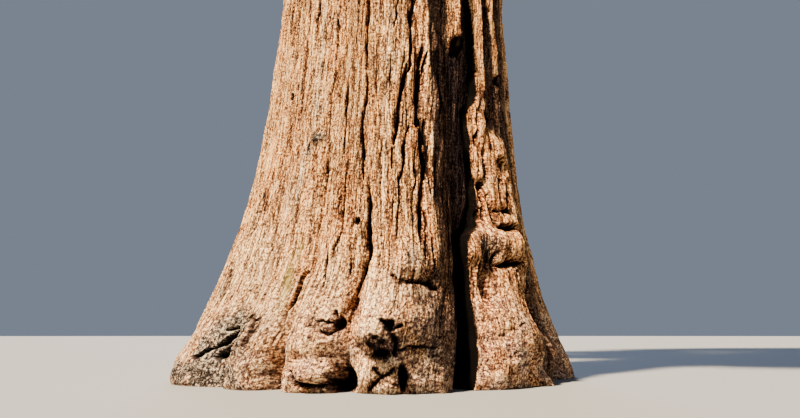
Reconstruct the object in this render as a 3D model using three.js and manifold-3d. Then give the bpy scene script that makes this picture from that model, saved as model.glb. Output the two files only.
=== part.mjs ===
// A giant sequoia: a fluted, buttressed trunk from a flat cut at ground level to its leader, great boughs
// that leave it from two fifths of its height, and a dense mass of foliage at the end of each bough and
// round the leader.
// Millimetres, +Z up. The origin is the centre of the cut under the trunk, and -Y is the side with the deep
// cleft. The real tree is about 84 m tall. It is built evenly scaled to 40 m, and so is every size here.
import * as THREE from "three";
import { mergeVertices } from "three/addons/utils/BufferGeometryUtils.js";
import Module from "manifold-3d";

const wasm = await Module();
wasm.setup();

const TREE_HEIGHT = 40000;

// The trunk's shaft, its flare towards the ground and its slight lean.
const TRUNK_TOP = 36200;
const SHAFT_RADIUS = 1660;
const SHAFT_FULLNESS = 1.9; // how far up the shaft keeps its girth
const SHAFT_TAPER = 0.8;
const LEADER_FOOT = 32000; // above this the trunk narrows quickly into its leader
const LEADER_SHARE = 0.28; // what is left of the radius at the tip
const FLARE_REACH = 1100;
const FLARE_HEIGHT = 2050;
const LEAN = 90; // sideways at the shoulder
const LEAN_HEIGHT = 5700;
const TRUNK_ROWS = 29;
const ROW_CROWDING = 1.6; // above 1, rows crowd towards the ground
const COLUMN_DEGREES = 6.6;

// Furrows between the buttresses drift with height, so each is given at three heights.
const FURROW_HEIGHTS = [0, 1600, 5500];
const FURROW_FADE = 2500; // the foot's deep valleys die out over this height
const FLUTE_DEPTH = 120; // and shallower flutes run on up the shaft
const ARCH_POWER = 2.6; // 2 is a round buttress, more is flatter with a sharper furrow
const TUCK = 170; // the buttresses draw in where they meet the ground
const TUCK_HEIGHT = 170;

// The buttresses, clockwise seen from above, each from its own furrow to the next one's. Angles are in
// degrees from the front, positive to the right. "furrow" is the valley's extra depth at the foot, "reach" how
// far the crest stands out beyond the flare at the ground, "rise" the height over which that dies out, and
// "bulge" is [height, spread, amount] of a swelling on the crest.
const BUTTRESSES = [
  { name: "left flank", at: [-104, -102, -100], furrow: 420, reach: 380, rise: 1900 },
  { name: "left shoulder", at: [-50, -45, -46], furrow: 120, reach: 120, rise: 1200 },
  { name: "left front", at: [-31, -24, -20], furrow: 460, reach: 60, rise: 900, bulge: [800, 450, 130] },
  { name: "middle", at: [-10, -7, -10], furrow: 300, reach: 0, rise: 900, bulge: [820, 420, 300] },
  { name: "cleft", at: [20, 27, 35], furrow: 180, reach: -1150, rise: 5200 },
  { name: "right front", at: [31, 37, 43], furrow: 180, reach: -200, rise: 1900, bulge: [1550, 320, 110] },
  { name: "right side", at: [56, 53, 57], furrow: 150, reach: -330, rise: 1900, bulge: [400, 300, 120] },
  { name: "right rear", at: [84, 84, 82], furrow: 420, reach: 180, rise: 500 },
  { name: "back right", at: [116, 114, 112], furrow: 480, reach: 260, rise: 1300 },
  { name: "back middle", at: [147, 149, 150], furrow: 360, reach: 80, rise: 1500, bulge: [700, 500, 160] },
  { name: "back left", at: [186, 184, 182], furrow: 520, reach: 300, rise: 1400 },
  { name: "left rear", at: [222, 221, 223], furrow: 380, reach: 160, rise: 1100, bulge: [1100, 450, 120] },
];

// The boughs.
const BOUGH_COUNT = 24;
const BOUGH_HEIGHTS = [15900, 32600]; // where the lowest and the highest leave the trunk
const BOUGH_RISES = [1900, 1500]; // from there up to the middle of their foliage
const BOUGH_SIDES = 5;
const BOUGH_SPANS = 4;
const BOUGH_GIRTH = 0.2; // of the trunk's radius there
const BOUGH_LEAST = 60;
const BOUGH_TIP_SHARE = 0.42;
const TIP_DEPTH = 0.8; // where a bough ends, as a share of the way out from the middle of its mass
const COLLAR = 0.35; // the swelling where a bough leaves the trunk

// The crown's outline is an egg. Its foot lies this far below its widest place, and its head this far above.
const CROWN_RADIUS = 8000;
const CROWN_WIDEST = 25000;
const CROWN_BELOW = 22000;
const CROWN_ABOVE = 15000;

// The masses of foliage. A share is of the mass's own radius.
const MASS_RADII = [3300, 2800]; // across, on the lowest and the highest bough
const MASS_HEIGHT_SHARE = 0.72;
const RING_COUNT = 5; // masses carried by the trunk itself, round its head
const RING_HEIGHT = 35500;
const RING_DISTANCE = 2250;
const RING_RADIUS = 2250;
const TOP_RADIUS = 2200;
const CORE_SHARE = 0.62;
const CORE_RELIEF = 0.14;
const CORE_STEPS = [1, 0.88, 0.76, 0.64, 0.52, 0.4]; // how far a core may draw in
const SPACE_MARGIN = 0.03; // between two masses' spaces
const SHOOT_COUNT = 10; // what stands out of a core: forked twigs and single sprays
const SHOOTS_TO_A_TWIG = 5; // every fifth shoot is a forked twig
const TWIG_RADIUS = 55;
const TWIG_SHARES = [0.4, 0.72]; // from well inside the core to the fork
const SPRAY_SHARES = [0.36, 0.48]; // where a single spray's root lies
const SPRAY_REACH = 0.99; // and how far its tip gets
const SPRAY_WIDTH = 1.05; // of its own length
const SPRAY_THICKNESS = 0.05;
const SPRAY_STEPS = [1, 0.8, 0.65]; // the lengths that are tried until one fits
const FORKED_SPRAY = 0.36; // a forked spray's length
const FORK_SPREAD = 0.62; // radians between a twig and its sprays
const STEM_SHARE = 0.8; // a mass's stem is this much of its bough's tip

const GAP = 0.3; // between a limb and what it carries
const CLEARANCE = 25; // between foliage and any limb

const GOLDEN_ANGLE = Math.PI * (3 - Math.sqrt(5));
const UP = new THREE.Vector3(0, 0, 1);

const bark = new THREE.MeshStandardMaterial({ color: 0xa9673f, roughness: 0.92, metalness: 0 });
const needles = new THREE.MeshStandardMaterial({ color: 0x4f6b3c, roughness: 0.8, metalness: 0 });

const radians = THREE.MathUtils.degToRad;
const mix = THREE.MathUtils.lerp;
const smooth = (x, low, high) => THREE.MathUtils.smoothstep(x, low, high);

// A repeatable number from 0 to 1 for each pair of whole numbers.
function chance(i, j) {
  const s = Math.sin(i * 12.9898 + j * 78.233) * 43758.5453;
  return s - Math.floor(s);
}

// The unit vector that points out from the trunk at an angle from the front.
const outward = (angle) => new THREE.Vector3(Math.sin(angle), -Math.cos(angle), 0);

// A closed surface through rings of points, with a fan at each end.
function skin(rings) {
  const sides = rings[0].length;
  const points = rings.flat();
  const faces = [];
  rings.slice(1).forEach((_, r) => {
    for (let k = 0; k < sides; k++) {
      const a = r * sides + k;
      const b = r * sides + ((k + 1) % sides);
      faces.push(a, b, b + sides, a, b + sides, a + sides);
    }
  });
  const last = (rings.length - 1) * sides;
  for (let k = 1; k < sides - 1; k++) {
    faces.push(0, k + 1, k, last, last + k, last + k + 1);
  }
  return new THREE.BufferGeometry().setFromPoints(points).setIndex(faces);
}

// The same geometry with one vertex at each corner.
function welded(geometry, tolerance) {
  const bare = geometry.clone();
  bare.deleteAttribute("normal");
  bare.deleteAttribute("uv");
  return mergeVertices(bare, tolerance);
}

function toSolid(geometry) {
  const merged = welded(geometry, 1e-3);
  const vertProperties = merged.attributes.position.array;
  const triVerts = new Uint32Array(merged.index.array);
  return new wasm.Manifold(new wasm.Mesh({ numProp: 3, vertProperties, triVerts }));
}

function toGeometry(solid) {
  const { numProp, numVert, vertProperties, triVerts } = solid.getMesh();
  const position = new Float32Array(numVert * 3);
  for (let i = 0; i < numVert; i++) {
    position.set(vertProperties.subarray(i * numProp, i * numProp + 3), i * 3);
  }
  const geometry = new THREE.BufferGeometry();
  geometry.setAttribute("position", new THREE.BufferAttribute(position, 3));
  geometry.setIndex(new THREE.BufferAttribute(triVerts, 1));
  geometry.computeVertexNormals();
  return geometry;
}

const largest = (solid) => solid.decompose().sort((a, b) => b.volume() - a.volume())[0];

// The trunk: at each height the furrows have their own angles, and a buttress arches from one to the next.
function shaftRadius(z) {
  const shaft = SHAFT_RADIUS * (1 - (z / TREE_HEIGHT) ** SHAFT_FULLNESS) ** SHAFT_TAPER;
  const leader = 1 - (1 - LEADER_SHARE) * smooth(z, LEADER_FOOT, TRUNK_TOP);
  return shaft * leader + FLARE_REACH * Math.exp(-z / FLARE_HEIGHT);
}

const axisAt = (z) => new THREE.Vector3(LEAN * smooth(z, 0, LEAN_HEIGHT), 0, z);

function furrowAngle(buttress, z) {
  const [foot, knee, shoulder] = buttress.at;
  const low = smooth(z, FURROW_HEIGHTS[0], FURROW_HEIGHTS[1]);
  const high = smooth(z, FURROW_HEIGHTS[1], FURROW_HEIGHTS[2]);
  return radians(foot + (knee - foot) * low + (shoulder - knee) * high);
}

const furrowDepth = (buttress, z) =>
  buttress.furrow * Math.exp(-z / FURROW_FADE) + FLUTE_DEPTH * (1 - z / TREE_HEIGHT) ** 2;

function crestReach(buttress, z) {
  const foot = buttress.reach * Math.exp(-z / buttress.rise);
  const [height, spread, amount] = buttress.bulge ?? [0, 1, 0];
  const bulge = amount * Math.exp(-(((z - height) / spread) ** 2));
  return foot + bulge - TUCK * Math.exp(-z / TUCK_HEIGHT);
}

// share runs from 0 at the buttress's own furrow to 1 at the next one's.
function trunkRadius(index, share, z) {
  const buttress = BUTTRESSES[index];
  const next = BUTTRESSES[(index + 1) % BUTTRESSES.length];
  const arch = 1 - Math.abs(2 * share - 1) ** ARCH_POWER;
  const valley = mix(furrowDepth(buttress, z), furrowDepth(next, z), share);
  return shaftRadius(z) - valley * (1 - arch) + crestReach(buttress, z) * arch;
}

function trunkSolid(extra) {
  const columns = BUTTRESSES.flatMap((buttress, index) => {
    const following = BUTTRESSES[index + 1]?.at[1] ?? BUTTRESSES[0].at[1] + 360;
    const count = Math.max(3, Math.round((following - buttress.at[1]) / COLUMN_DEGREES));
    return Array.from({ length: count }, (_, k) => ({ index, share: k / count }));
  });
  const rings = Array.from({ length: TRUNK_ROWS }, (_, row) => {
    const z = TRUNK_TOP * (row / (TRUNK_ROWS - 1)) ** ROW_CROWDING;
    return columns.map(({ index, share }) => {
      const from = furrowAngle(BUTTRESSES[index], z);
      const turn = index === BUTTRESSES.length - 1 ? 2 * Math.PI : 0;
      const to = furrowAngle(BUTTRESSES[(index + 1) % BUTTRESSES.length], z) + turn;
      const radius = trunkRadius(index, share, z) + extra;
      return axisAt(z).addScaledVector(outward(mix(from, to, share)), radius);
    });
  });
  const foot = rings[0].map((p) => new THREE.Vector2(p.x, p.y));
  const head = rings.at(-1).map((p) => new THREE.Vector2(p.x, p.y));
  const sides = columns.length;
  const last = (rings.length - 1) * sides;
  const wall = skin(rings);
  const walls = wall.index.array.slice(0, (rings.length - 1) * sides * 6);
  const under = THREE.ShapeUtils.triangulateShape(foot, []).flatMap(([a, b, c]) => [a, c, b]);
  const over = THREE.ShapeUtils.triangulateShape(head, []).flat().map((v) => v + last);
  wall.setIndex([...walls, ...under, ...over]);
  return toSolid(wall);
}

// A tapering limb: rings round a curve, with radii given along it.
function limb(curve, radiusAt, sides, spans) {
  const frames = curve.computeFrenetFrames(spans, false);
  const rings = Array.from({ length: spans + 1 }, (_, i) => {
    const centre = curve.getPointAt(i / spans);
    const radius = radiusAt(i / spans);
    return Array.from({ length: sides }, (_, k) => {
      const angle = (2 * Math.PI * k) / sides;
      const rim = centre.clone().addScaledVector(frames.normals[i], radius * Math.cos(angle));
      return rim.addScaledVector(frames.binormals[i], radius * Math.sin(angle));
    });
  });
  return toSolid(skin(rings));
}

function crownRadius(z) {
  const depth = z < CROWN_WIDEST ? CROWN_BELOW : CROWN_ABOVE;
  return CROWN_RADIUS * Math.sqrt(Math.max(0, 1 - ((z - CROWN_WIDEST) / depth) ** 2));
}

// How far a point is from the middle of a mass, where 1 is the edge of the mass's own space.
const depthIn = (mass, p) => p.clone().sub(mass.centre).divide(mass.radii).length();

// Where each bough leaves the trunk, bends and ends, and the space of the foliage that it carries.
function planBough(i) {
  const t = i / (BOUGH_COUNT - 1);
  const footHeight = mix(...BOUGH_HEIGHTS, t) + 350 * (chance(i, 1) - 0.5);
  const angle = i * GOLDEN_ANGLE + 0.3 * (chance(i, 2) - 0.5);
  const across = mix(...MASS_RADII, t) * (0.92 + 0.16 * chance(i, 3));
  const radii = new THREE.Vector3(across, across, across * MASS_HEIGHT_SHARE);
  const centreHeight = footHeight + mix(...BOUGH_RISES, t) * (0.75 + 0.5 * chance(i, 4));
  const centre = outward(angle).multiplyScalar(crownRadius(centreHeight) - across);
  centre.z = centreHeight;

  const pitched = (by) => outward(angle).multiplyScalar(Math.cos(by)).addScaledVector(UP, Math.sin(by));
  const setOut = pitched(mix(-0.1, 0.3, chance(i, 5)));
  const comeIn = pitched(mix(0.45, 0.8, chance(i, 6)));
  const inside = 1 / comeIn.clone().divide(radii).length();
  const tip = centre.clone().addScaledVector(comeIn, -TIP_DEPTH * inside);
  const foot = axisAt(footHeight).addScaledVector(outward(angle), 0.45 * shaftRadius(footHeight));
  const handle = 0.42 * foot.distanceTo(tip);
  const curve = new THREE.CubicBezierCurve3(
    foot,
    foot.clone().addScaledVector(setOut, handle),
    tip.clone().addScaledVector(comeIn, -handle),
    tip,
  );
  const girth = BOUGH_GIRTH * shaftRadius(footHeight) + BOUGH_LEAST;
  const radiusAt = (u) => girth * (mix(1, BOUGH_TIP_SHARE, u) + COLLAR * Math.exp(-u / 0.12));
  const stem = { from: tip.clone().addScaledVector(comeIn, GAP), radius: STEM_SHARE * radiusAt(1) };
  return { curve, radiusAt, mass: { centre, radii, stem, seed: i } };
}

// The masses that the trunk carries itself: a ring round its head, and one on its tip.
function planHead() {
  const ring = Array.from({ length: RING_COUNT }, (_, i) => {
    const seed = BOUGH_COUNT + i;
    const angle = (2 * Math.PI * (i + 0.35)) / RING_COUNT;
    const radii = new THREE.Vector3(RING_RADIUS, RING_RADIUS, RING_RADIUS * MASS_HEIGHT_SHARE);
    const height = RING_HEIGHT + 700 * (chance(seed, 1) - 0.5);
    const centre = outward(angle).multiplyScalar(RING_DISTANCE).setZ(height);
    const from = axisAt(height - 700).addScaledVector(outward(angle), 0.3 * shaftRadius(height - 700));
    return { centre, radii, stem: { from, radius: 90 }, seed };
  });
  const seed = BOUGH_COUNT + RING_COUNT;
  const radii = new THREE.Vector3(TOP_RADIUS, TOP_RADIUS, TOP_RADIUS);
  const highest = SPRAY_REACH * TOP_RADIUS * shootWay({ seed }, 0).z;
  const stem = { from: axisAt(TRUNK_TOP + GAP), radius: 80 };
  return [...ring, { centre: axisAt(TREE_HEIGHT - highest), radii, stem, seed }];
}

// A spray of needles: a thin blade with three points, ridged along its middle on both sides.
function spray(root, along, length) {
  const side = new THREE.Vector3().crossVectors(UP, along).normalize();
  const face = new THREE.Vector3().crossVectors(along, side).normalize();
  const width = SPRAY_WIDTH * length;
  const place = (x, y, z) => {
    const point = root.clone().addScaledVector(along, x * length);
    return point.addScaledVector(side, y * width).addScaledVector(face, z * length);
  };
  const outline = [place(0, 0, 0), place(0.7, -0.5, 0), place(0.56, -0.17, 0)];
  outline.push(place(1, 0, 0), place(0.56, 0.17, 0), place(0.7, 0.5, 0));
  const points = [...outline, place(0.42, 0, SPRAY_THICKNESS), place(0.42, 0, -SPRAY_THICKNESS)];
  const faces = outline.flatMap((_, k) => {
    const next = (k + 1) % outline.length;
    return [k, next, 6, next, k, 7];
  });
  return toSolid(new THREE.BufferGeometry().setFromPoints(points).setIndex(faces));
}

// The lumpy middle of a mass, which the sprays stand out of. It draws in where a neighbour's space begins.
function massCore(mass, ownsPoint) {
  const geometry = welded(new THREE.OctahedronGeometry(1, 1), 1e-4);
  const position = geometry.attributes.position;
  for (let v = 0; v < position.count; v++) {
    const reach = new THREE.Vector3().fromBufferAttribute(position, v).multiply(mass.radii);
    const swell = CORE_SHARE * (1 + CORE_RELIEF * (2 * chance(mass.seed, v) - 1));
    const candidates = CORE_STEPS.map((step) => mass.centre.clone().addScaledVector(reach, swell * step));
    const point = candidates.find(ownsPoint) ?? candidates.at(-1);
    position.setXYZ(v, ...point.toArray());
  }
  return toSolid(geometry);
}

const straight = (a, b, from, to, sides) =>
  limb(new THREE.LineCurve3(a, b), (u) => mix(from, to, u), sides, 1);

// The points of a solid, to test against a mass's space.
function corners(solid) {
  const { numProp, numVert, vertProperties } = solid.getMesh();
  const corner = (_, i) => new THREE.Vector3(...vertProperties.slice(i * numProp, i * numProp + 3));
  return Array.from({ length: numVert }, corner);
}

// The direction of a mass's shoot k, on a spiral that covers all sides evenly.
function shootWay(mass, k) {
  const height = 1 - (2 * k + 0.5) / SHOOT_COUNT;
  const turn = k * GOLDEN_ANGLE + 2 * Math.PI * chance(mass.seed, 50);
  const level = Math.sqrt(1 - height * height);
  return new THREE.Vector3(level * Math.cos(turn), level * Math.sin(turn), height);
}

// One mass: a stem, a core, and shoots that stand out of it. A twig or a spray is skipped where it would
// leave the mass's own space, which ends halfway to each neighbour's, or touch a limb.
function foliage(mass, masses, limbs) {
  const others = masses.filter((other) => other !== mass);
  const isNearest = (p) => others.every((other) => depthIn(other, p) > depthIn(mass, p) + SPACE_MARGIN);
  const ownsPoint = (p) => depthIn(mass, p) < 1 && isNearest(p);
  const isClear = (solid) => limbs.every((l) => solid.intersect(l).isEmpty());
  const fits = (solid) => corners(solid).every(ownsPoint) && isClear(solid);

  const core = limbs.reduce((left, l) => left.subtract(l), massCore(mass, ownsPoint));
  const pieces = [core, straight(mass.stem.from, mass.centre, mass.stem.radius, TWIG_RADIUS, 4)];
  const addSpray = (root, along, length) => {
    const blade = SPRAY_STEPS.map((step) => spray(root, along, length * step)).find(fits);
    if (blade) {
      pieces.push(blade);
    }
  };
  for (let k = 0; k < SHOOT_COUNT; k++) {
    const surface = shootWay(mass, k).multiply(mass.radii);
    const along = surface.clone().normalize();
    const at = (share) => mass.centre.clone().addScaledVector(surface, share);
    if (k % SHOOTS_TO_A_TWIG !== 1) {
      const share = mix(...SPRAY_SHARES, chance(mass.seed, k));
      addSpray(at(share), along, (SPRAY_REACH - share) * surface.length());
      continue;
    }
    const twig = straight(at(TWIG_SHARES[0]), at(TWIG_SHARES[1]), TWIG_RADIUS, 0.6 * TWIG_RADIUS, 3);
    if (!fits(twig)) {
      continue;
    }
    pieces.push(twig);
    const across = new THREE.Vector3().crossVectors(along, UP).normalize();
    for (const hand of [-1, 1]) {
      const lean = hand * FORK_SPREAD;
      const aim = along.clone().multiplyScalar(Math.cos(lean)).addScaledVector(across, Math.sin(lean));
      addSpray(at(TWIG_SHARES[1] - 0.06), aim, FORKED_SPRAY * surface.length());
    }
  }
  return largest(wasm.Manifold.union(pieces));
}

const tree = new THREE.Group();
tree.name = "giant_sequoia";

function addNode(name, solid, material) {
  const mesh = new THREE.Mesh(toGeometry(solid), material);
  mesh.name = name;
  tree.add(mesh);
  return mesh;
}

const twoDigits = (i) => String(i + 1).padStart(2, "0");
const grown = (extra, bough) => limb(bough.curve, (u) => bough.radiusAt(u) + extra, BOUGH_SIDES, BOUGH_SPANS);

const boughs = Array.from({ length: BOUGH_COUNT }, (_, i) => planBough(i));
const masses = [...boughs.map((bough) => bough.mass), ...planHead()];
const seat = trunkSolid(GAP);
const keepClear = [trunkSolid(CLEARANCE), ...boughs.map((bough) => grown(CLEARANCE, bough))];

addNode("trunk", trunkSolid(0), bark);
boughs.forEach((bough, i) => {
  addNode(`bough_${twoDigits(i)}`, largest(grown(0, bough).subtract(seat)), bark);
});
masses.forEach((mass, i) => {
  const name = i < BOUGH_COUNT ? `foliage_${twoDigits(i)}` : `head_foliage_${twoDigits(i - BOUGH_COUNT)}`;
  addNode(name, largest(foliage(mass, masses, keepClear).subtract(seat)), needles);
});

export default tree;
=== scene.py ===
import math
from dataclasses import dataclass

import bpy
import numpy as np
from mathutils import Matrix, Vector


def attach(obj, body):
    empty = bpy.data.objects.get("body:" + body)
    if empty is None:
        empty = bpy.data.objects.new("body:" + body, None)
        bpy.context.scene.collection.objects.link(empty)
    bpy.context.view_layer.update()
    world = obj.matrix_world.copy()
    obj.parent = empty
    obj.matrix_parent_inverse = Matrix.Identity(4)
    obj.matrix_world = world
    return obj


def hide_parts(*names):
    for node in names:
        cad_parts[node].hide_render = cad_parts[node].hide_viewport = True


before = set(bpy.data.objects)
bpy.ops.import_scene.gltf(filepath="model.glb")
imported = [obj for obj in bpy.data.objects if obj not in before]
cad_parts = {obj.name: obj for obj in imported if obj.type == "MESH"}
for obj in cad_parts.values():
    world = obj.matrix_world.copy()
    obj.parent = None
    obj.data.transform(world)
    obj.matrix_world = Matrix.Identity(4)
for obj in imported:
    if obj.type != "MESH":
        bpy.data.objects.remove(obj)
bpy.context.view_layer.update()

TREE_HEIGHT = 40.0
GOLDEN_ANGLE = math.pi * (3 - math.sqrt(5))
UP = np.array([0.0, 0.0, 1.0])

# The trunk's shaft, flare and lean, as its solid has them.
TRUNK_TOP = 36.2
SHAFT_RADIUS = 1.66
SHAFT_FULLNESS = 1.9
SHAFT_TAPER = 0.8
LEADER_FOOT = 32.0
LEADER_SHARE = 0.28
FLARE_REACH = 1.1
FLARE_HEIGHT = 2.05
LEAN = 0.09
LEAN_HEIGHT = 5.7
KNEE_HEIGHT = 1.6
SHOULDER_HEIGHT = 5.5
FURROW_FADE = 2.5
FLUTE_DEPTH = 0.12
HEALING = ((0.85, 0.1, 0.5), (0.15, 1.3, 3.0))  # each share of a healed furrow closes between two heights
HEALED_UP_TO = (6.0, 9.0)
ARCH_POWER = 2.6
TUCK = 0.17
TUCK_HEIGHT = 0.17


@dataclass
class Buttress:
    """at: its own furrow's degrees at the foot, knee and shoulder. furrow: that furrow's depth at the
    ground. reach and rise: how far its crest stands out at the ground, and the height over which that fades.
    bulge: height, spread and amount. healed: the share of its own furrow that the bark has grown over above
    the ground, which the solid leaves open."""

    at: tuple
    furrow: float
    reach: float
    rise: float
    bulge: tuple = (0.0, 1.0, 0.0)
    healed: float = 0.0


BUTTRESSES = [
    Buttress((-104, -102, -100), 0.42, 0.38, 1.9),  # left flank
    Buttress((-50, -45, -46), 0.12, 0.12, 1.2, healed=0.7),  # left shoulder
    Buttress((-31, -24, -20), 0.46, 0.06, 0.9, (0.8, 0.45, 0.13), 0.75),  # left front
    Buttress((-10, -7, -10), 0.3, 0.0, 0.9, (0.82, 0.42, 0.3), 0.92),  # middle
    Buttress((20, 27, 35), 0.18, -1.15, 5.2),  # the deep cleft
    Buttress((31, 37, 43), 0.18, -0.2, 1.9, (1.55, 0.32, 0.11)),  # right front
    Buttress((56, 53, 57), 0.15, -0.33, 1.9, (0.4, 0.3, 0.12)),  # right side
    Buttress((84, 84, 82), 0.42, 0.18, 0.5),  # right rear
    Buttress((116, 114, 112), 0.48, 0.26, 1.3),  # back right
    Buttress((147, 149, 150), 0.36, 0.08, 1.5, (0.7, 0.5, 0.16)),  # back middle
    Buttress((186, 184, 182), 0.52, 0.3, 1.4),  # back left
    Buttress((222, 221, 223), 0.38, 0.16, 1.1, (1.1, 0.45, 0.12)),  # left rear
]

# The lower trunk is made in sections that meet in furrows: each one's buttresses, by their places in the
# list, and the degrees between its columns.
SECTIONS = {
    "trunk_left_flank": ([0], 0.36),
    "trunk_left_front": ([1, 2], 0.24),
    "trunk_middle": ([3], 0.22),
    "trunk_cleft": ([4], 0.08),
    "trunk_right": ([5, 6], 0.28),
    "trunk_back": ([7, 8, 9, 10, 11], 0.68),
}
LOWER_TOP = 6.4
LOWER_ROWS = 360
FOOT_CROWDING = 0.27  # above 0, rows crowd towards the ground
UPPER_STEP = 0.15
UPPER_THINNING = 3  # every third column runs on up the shaft
TIP_RISE = 0.05
TIP_TONE = 0.5  # the value of every colour field at the tip
CUT_TONE = 0.3  # and at the cut

GRAIN_RADIUS = 2.0  # the bark's pattern is laid out on a cylinder of this radius
GRAIN_ROUND = 2 * math.pi * GRAIN_RADIUS


def mix(a, b, share):
    """From a to b by this share."""
    return a + (b - a) * share


def smooth(x, low, high):
    """0 below low, 1 above high and a cubic with level ends between them."""
    t = np.clip((np.asarray(x, float) - low) / (high - low), 0, 1)
    return t * t * (3 - 2 * t)


def scatter(i, j, seed):
    """A repeatable number from 0 to 1 for each pair of whole numbers: what a large sine leaves after its
    point."""
    big = np.sin(i * 127.1 + j * 311.7 + seed * 74.7) * 43758.5453
    return big - np.floor(big)


def noise(u, v, seed, around):
    """Smooth noise from about -1 to 1: each corner of a unit grid has a slope in a random direction, and the
    four slopes round a place are blended by a curve with level ends. It closes after a whole number of cells
    in u."""
    iu, iv = np.floor(u), np.floor(v)
    fu, fv = u - iu, v - iv
    wu = fu * fu * fu * (fu * (fu * 6 - 15) + 10)
    wv = fv * fv * fv * (fv * (fv * 6 - 15) + 10)
    total = 0
    for du in (0, 1):
        for dv in (0, 1):
            turn = 2 * math.pi * scatter((iu + du) % around, iv + dv, seed)
            slope = np.cos(turn) * (fu - du) + np.sin(turn) * (fv - dv)
            total = total + slope * (wu if du else 1 - wu) * (wv if dv else 1 - wv)
    return 1.5 * total


def bark_noise(across, height, width, length, seed, octaves=1):
    """Noise on the bark's own layout, closed round the trunk, in cells of this width and length in metres.
    Each further octave has cells half as large and half as strong."""
    total = 0
    for k in range(octaves):
        cells = round(GRAIN_ROUND / width) * 2**k
        u = across / GRAIN_ROUND * cells
        total = total + noise(u, height / length * 2**k, seed + 17 * k, cells) / 2**k
    return total


def shaft_radius(z):
    """The shaft narrows by a power of its height and more quickly into its leader, and flares towards the
    ground."""
    shaft = SHAFT_RADIUS * (1 - (z / TREE_HEIGHT) ** SHAFT_FULLNESS) ** SHAFT_TAPER
    leader = 1 - (1 - LEADER_SHARE) * smooth(z, LEADER_FOOT, TRUNK_TOP)
    return shaft * leader + FLARE_REACH * np.exp(-z / FLARE_HEIGHT)


def lean(z):
    """How far the trunk's middle has moved to the right at this height."""
    return LEAN * smooth(z, 0, LEAN_HEIGHT)


def furrow_degrees(z):
    """The buttresses' furrows drift from foot to knee to shoulder. One row a height, and the first furrow
    again at the end of the row, a full turn on."""
    foot, knee, shoulder = np.array([b.at for b in BUTTRESSES], float).T
    low = smooth(z, 0, KNEE_HEIGHT)[:, None]
    high = smooth(z, KNEE_HEIGHT, SHOULDER_HEIGHT)[:, None]
    degrees = foot + (knee - foot) * low + (shoulder - knee) * high
    return np.hstack([degrees, degrees[:, :1] + 360])


def trunk_form(index, share, z):
    """The solid's form: a column lies at a fixed share of the way across its buttress, and its radius is the
    shaft's, less the valley between two furrows, with the crest's reach, bulge and tuck where the arch is
    full. Some furrows are healed from just above the ground. Returns the angle and the radius, a row a
    height and a column a column."""
    edges = furrow_degrees(z)
    degrees = mix(edges[:, index], edges[:, index + 1], share)
    z = z[:, None]
    arch = 1 - np.abs(2 * share - 1) ** ARCH_POWER
    furrow = np.array([b.furrow for b in BUTTRESSES + BUTTRESSES[:1]])
    valley = mix(furrow[index], furrow[index + 1], share) * np.exp(-z / FURROW_FADE)
    valley = valley + FLUTE_DEPTH * (1 - z / TREE_HEIGHT) ** 2
    healed = np.array([b.healed for b in BUTTRESSES + BUTTRESSES[:1]])
    healed = np.where(share < 0.5, healed[index], healed[index + 1])
    closed = sum(part * smooth(z, *heights) for part, *heights in HEALING) * (1 - smooth(z, *HEALED_UP_TO))
    valley = valley * (1 - healed * closed)
    reach, rise = (np.array([getattr(b, k) for b in BUTTRESSES])[index] for k in ("reach", "rise"))
    height, spread, amount = np.array([b.bulge for b in BUTTRESSES])[index].T
    crest = reach * np.exp(-z / rise) + amount * np.exp(-(((z - height) / spread) ** 2))
    crest = crest - TUCK * np.exp(-z / TUCK_HEIGHT)
    return degrees, shaft_radius(z) - valley * (1 - arch) + crest * arch


def knee_degrees():
    """The buttresses' furrows at the knee, and the first again, a full turn on."""
    return [b.at[1] for b in BUTTRESSES] + [BUTTRESSES[0].at[1] + 360]


@dataclass
class Crack:
    """A crack along a path of (height, degrees) points, or a raised strand where depth is negative. Its
    width is taken at half depth. Its edge is 1 for a V and more for a flat floor. Its painted shade is how
    dark the shade in it is painted, or below 0 how bleached it is."""

    path: list
    width: float
    depth: float
    edge: float = 1.5
    painted_shade: float = 1.0


@dataclass
class Swelling:
    """A lump, or a hollow where out is negative, round a (height, degrees) place. Its size is its
    half-height above that place, its half-height below and its half-width. Its edge is 2 for a soft rim and
    more for a sharp one. Its turn leans it by degrees. Its painted shade is how dark a hollow's shade is
    painted, or below 0 how much of earlier painted shade it clears."""

    at: tuple
    size: tuple
    out: float
    edge: float = 2.0
    turn: float = 0.0
    painted_shade: float = 0.0
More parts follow.
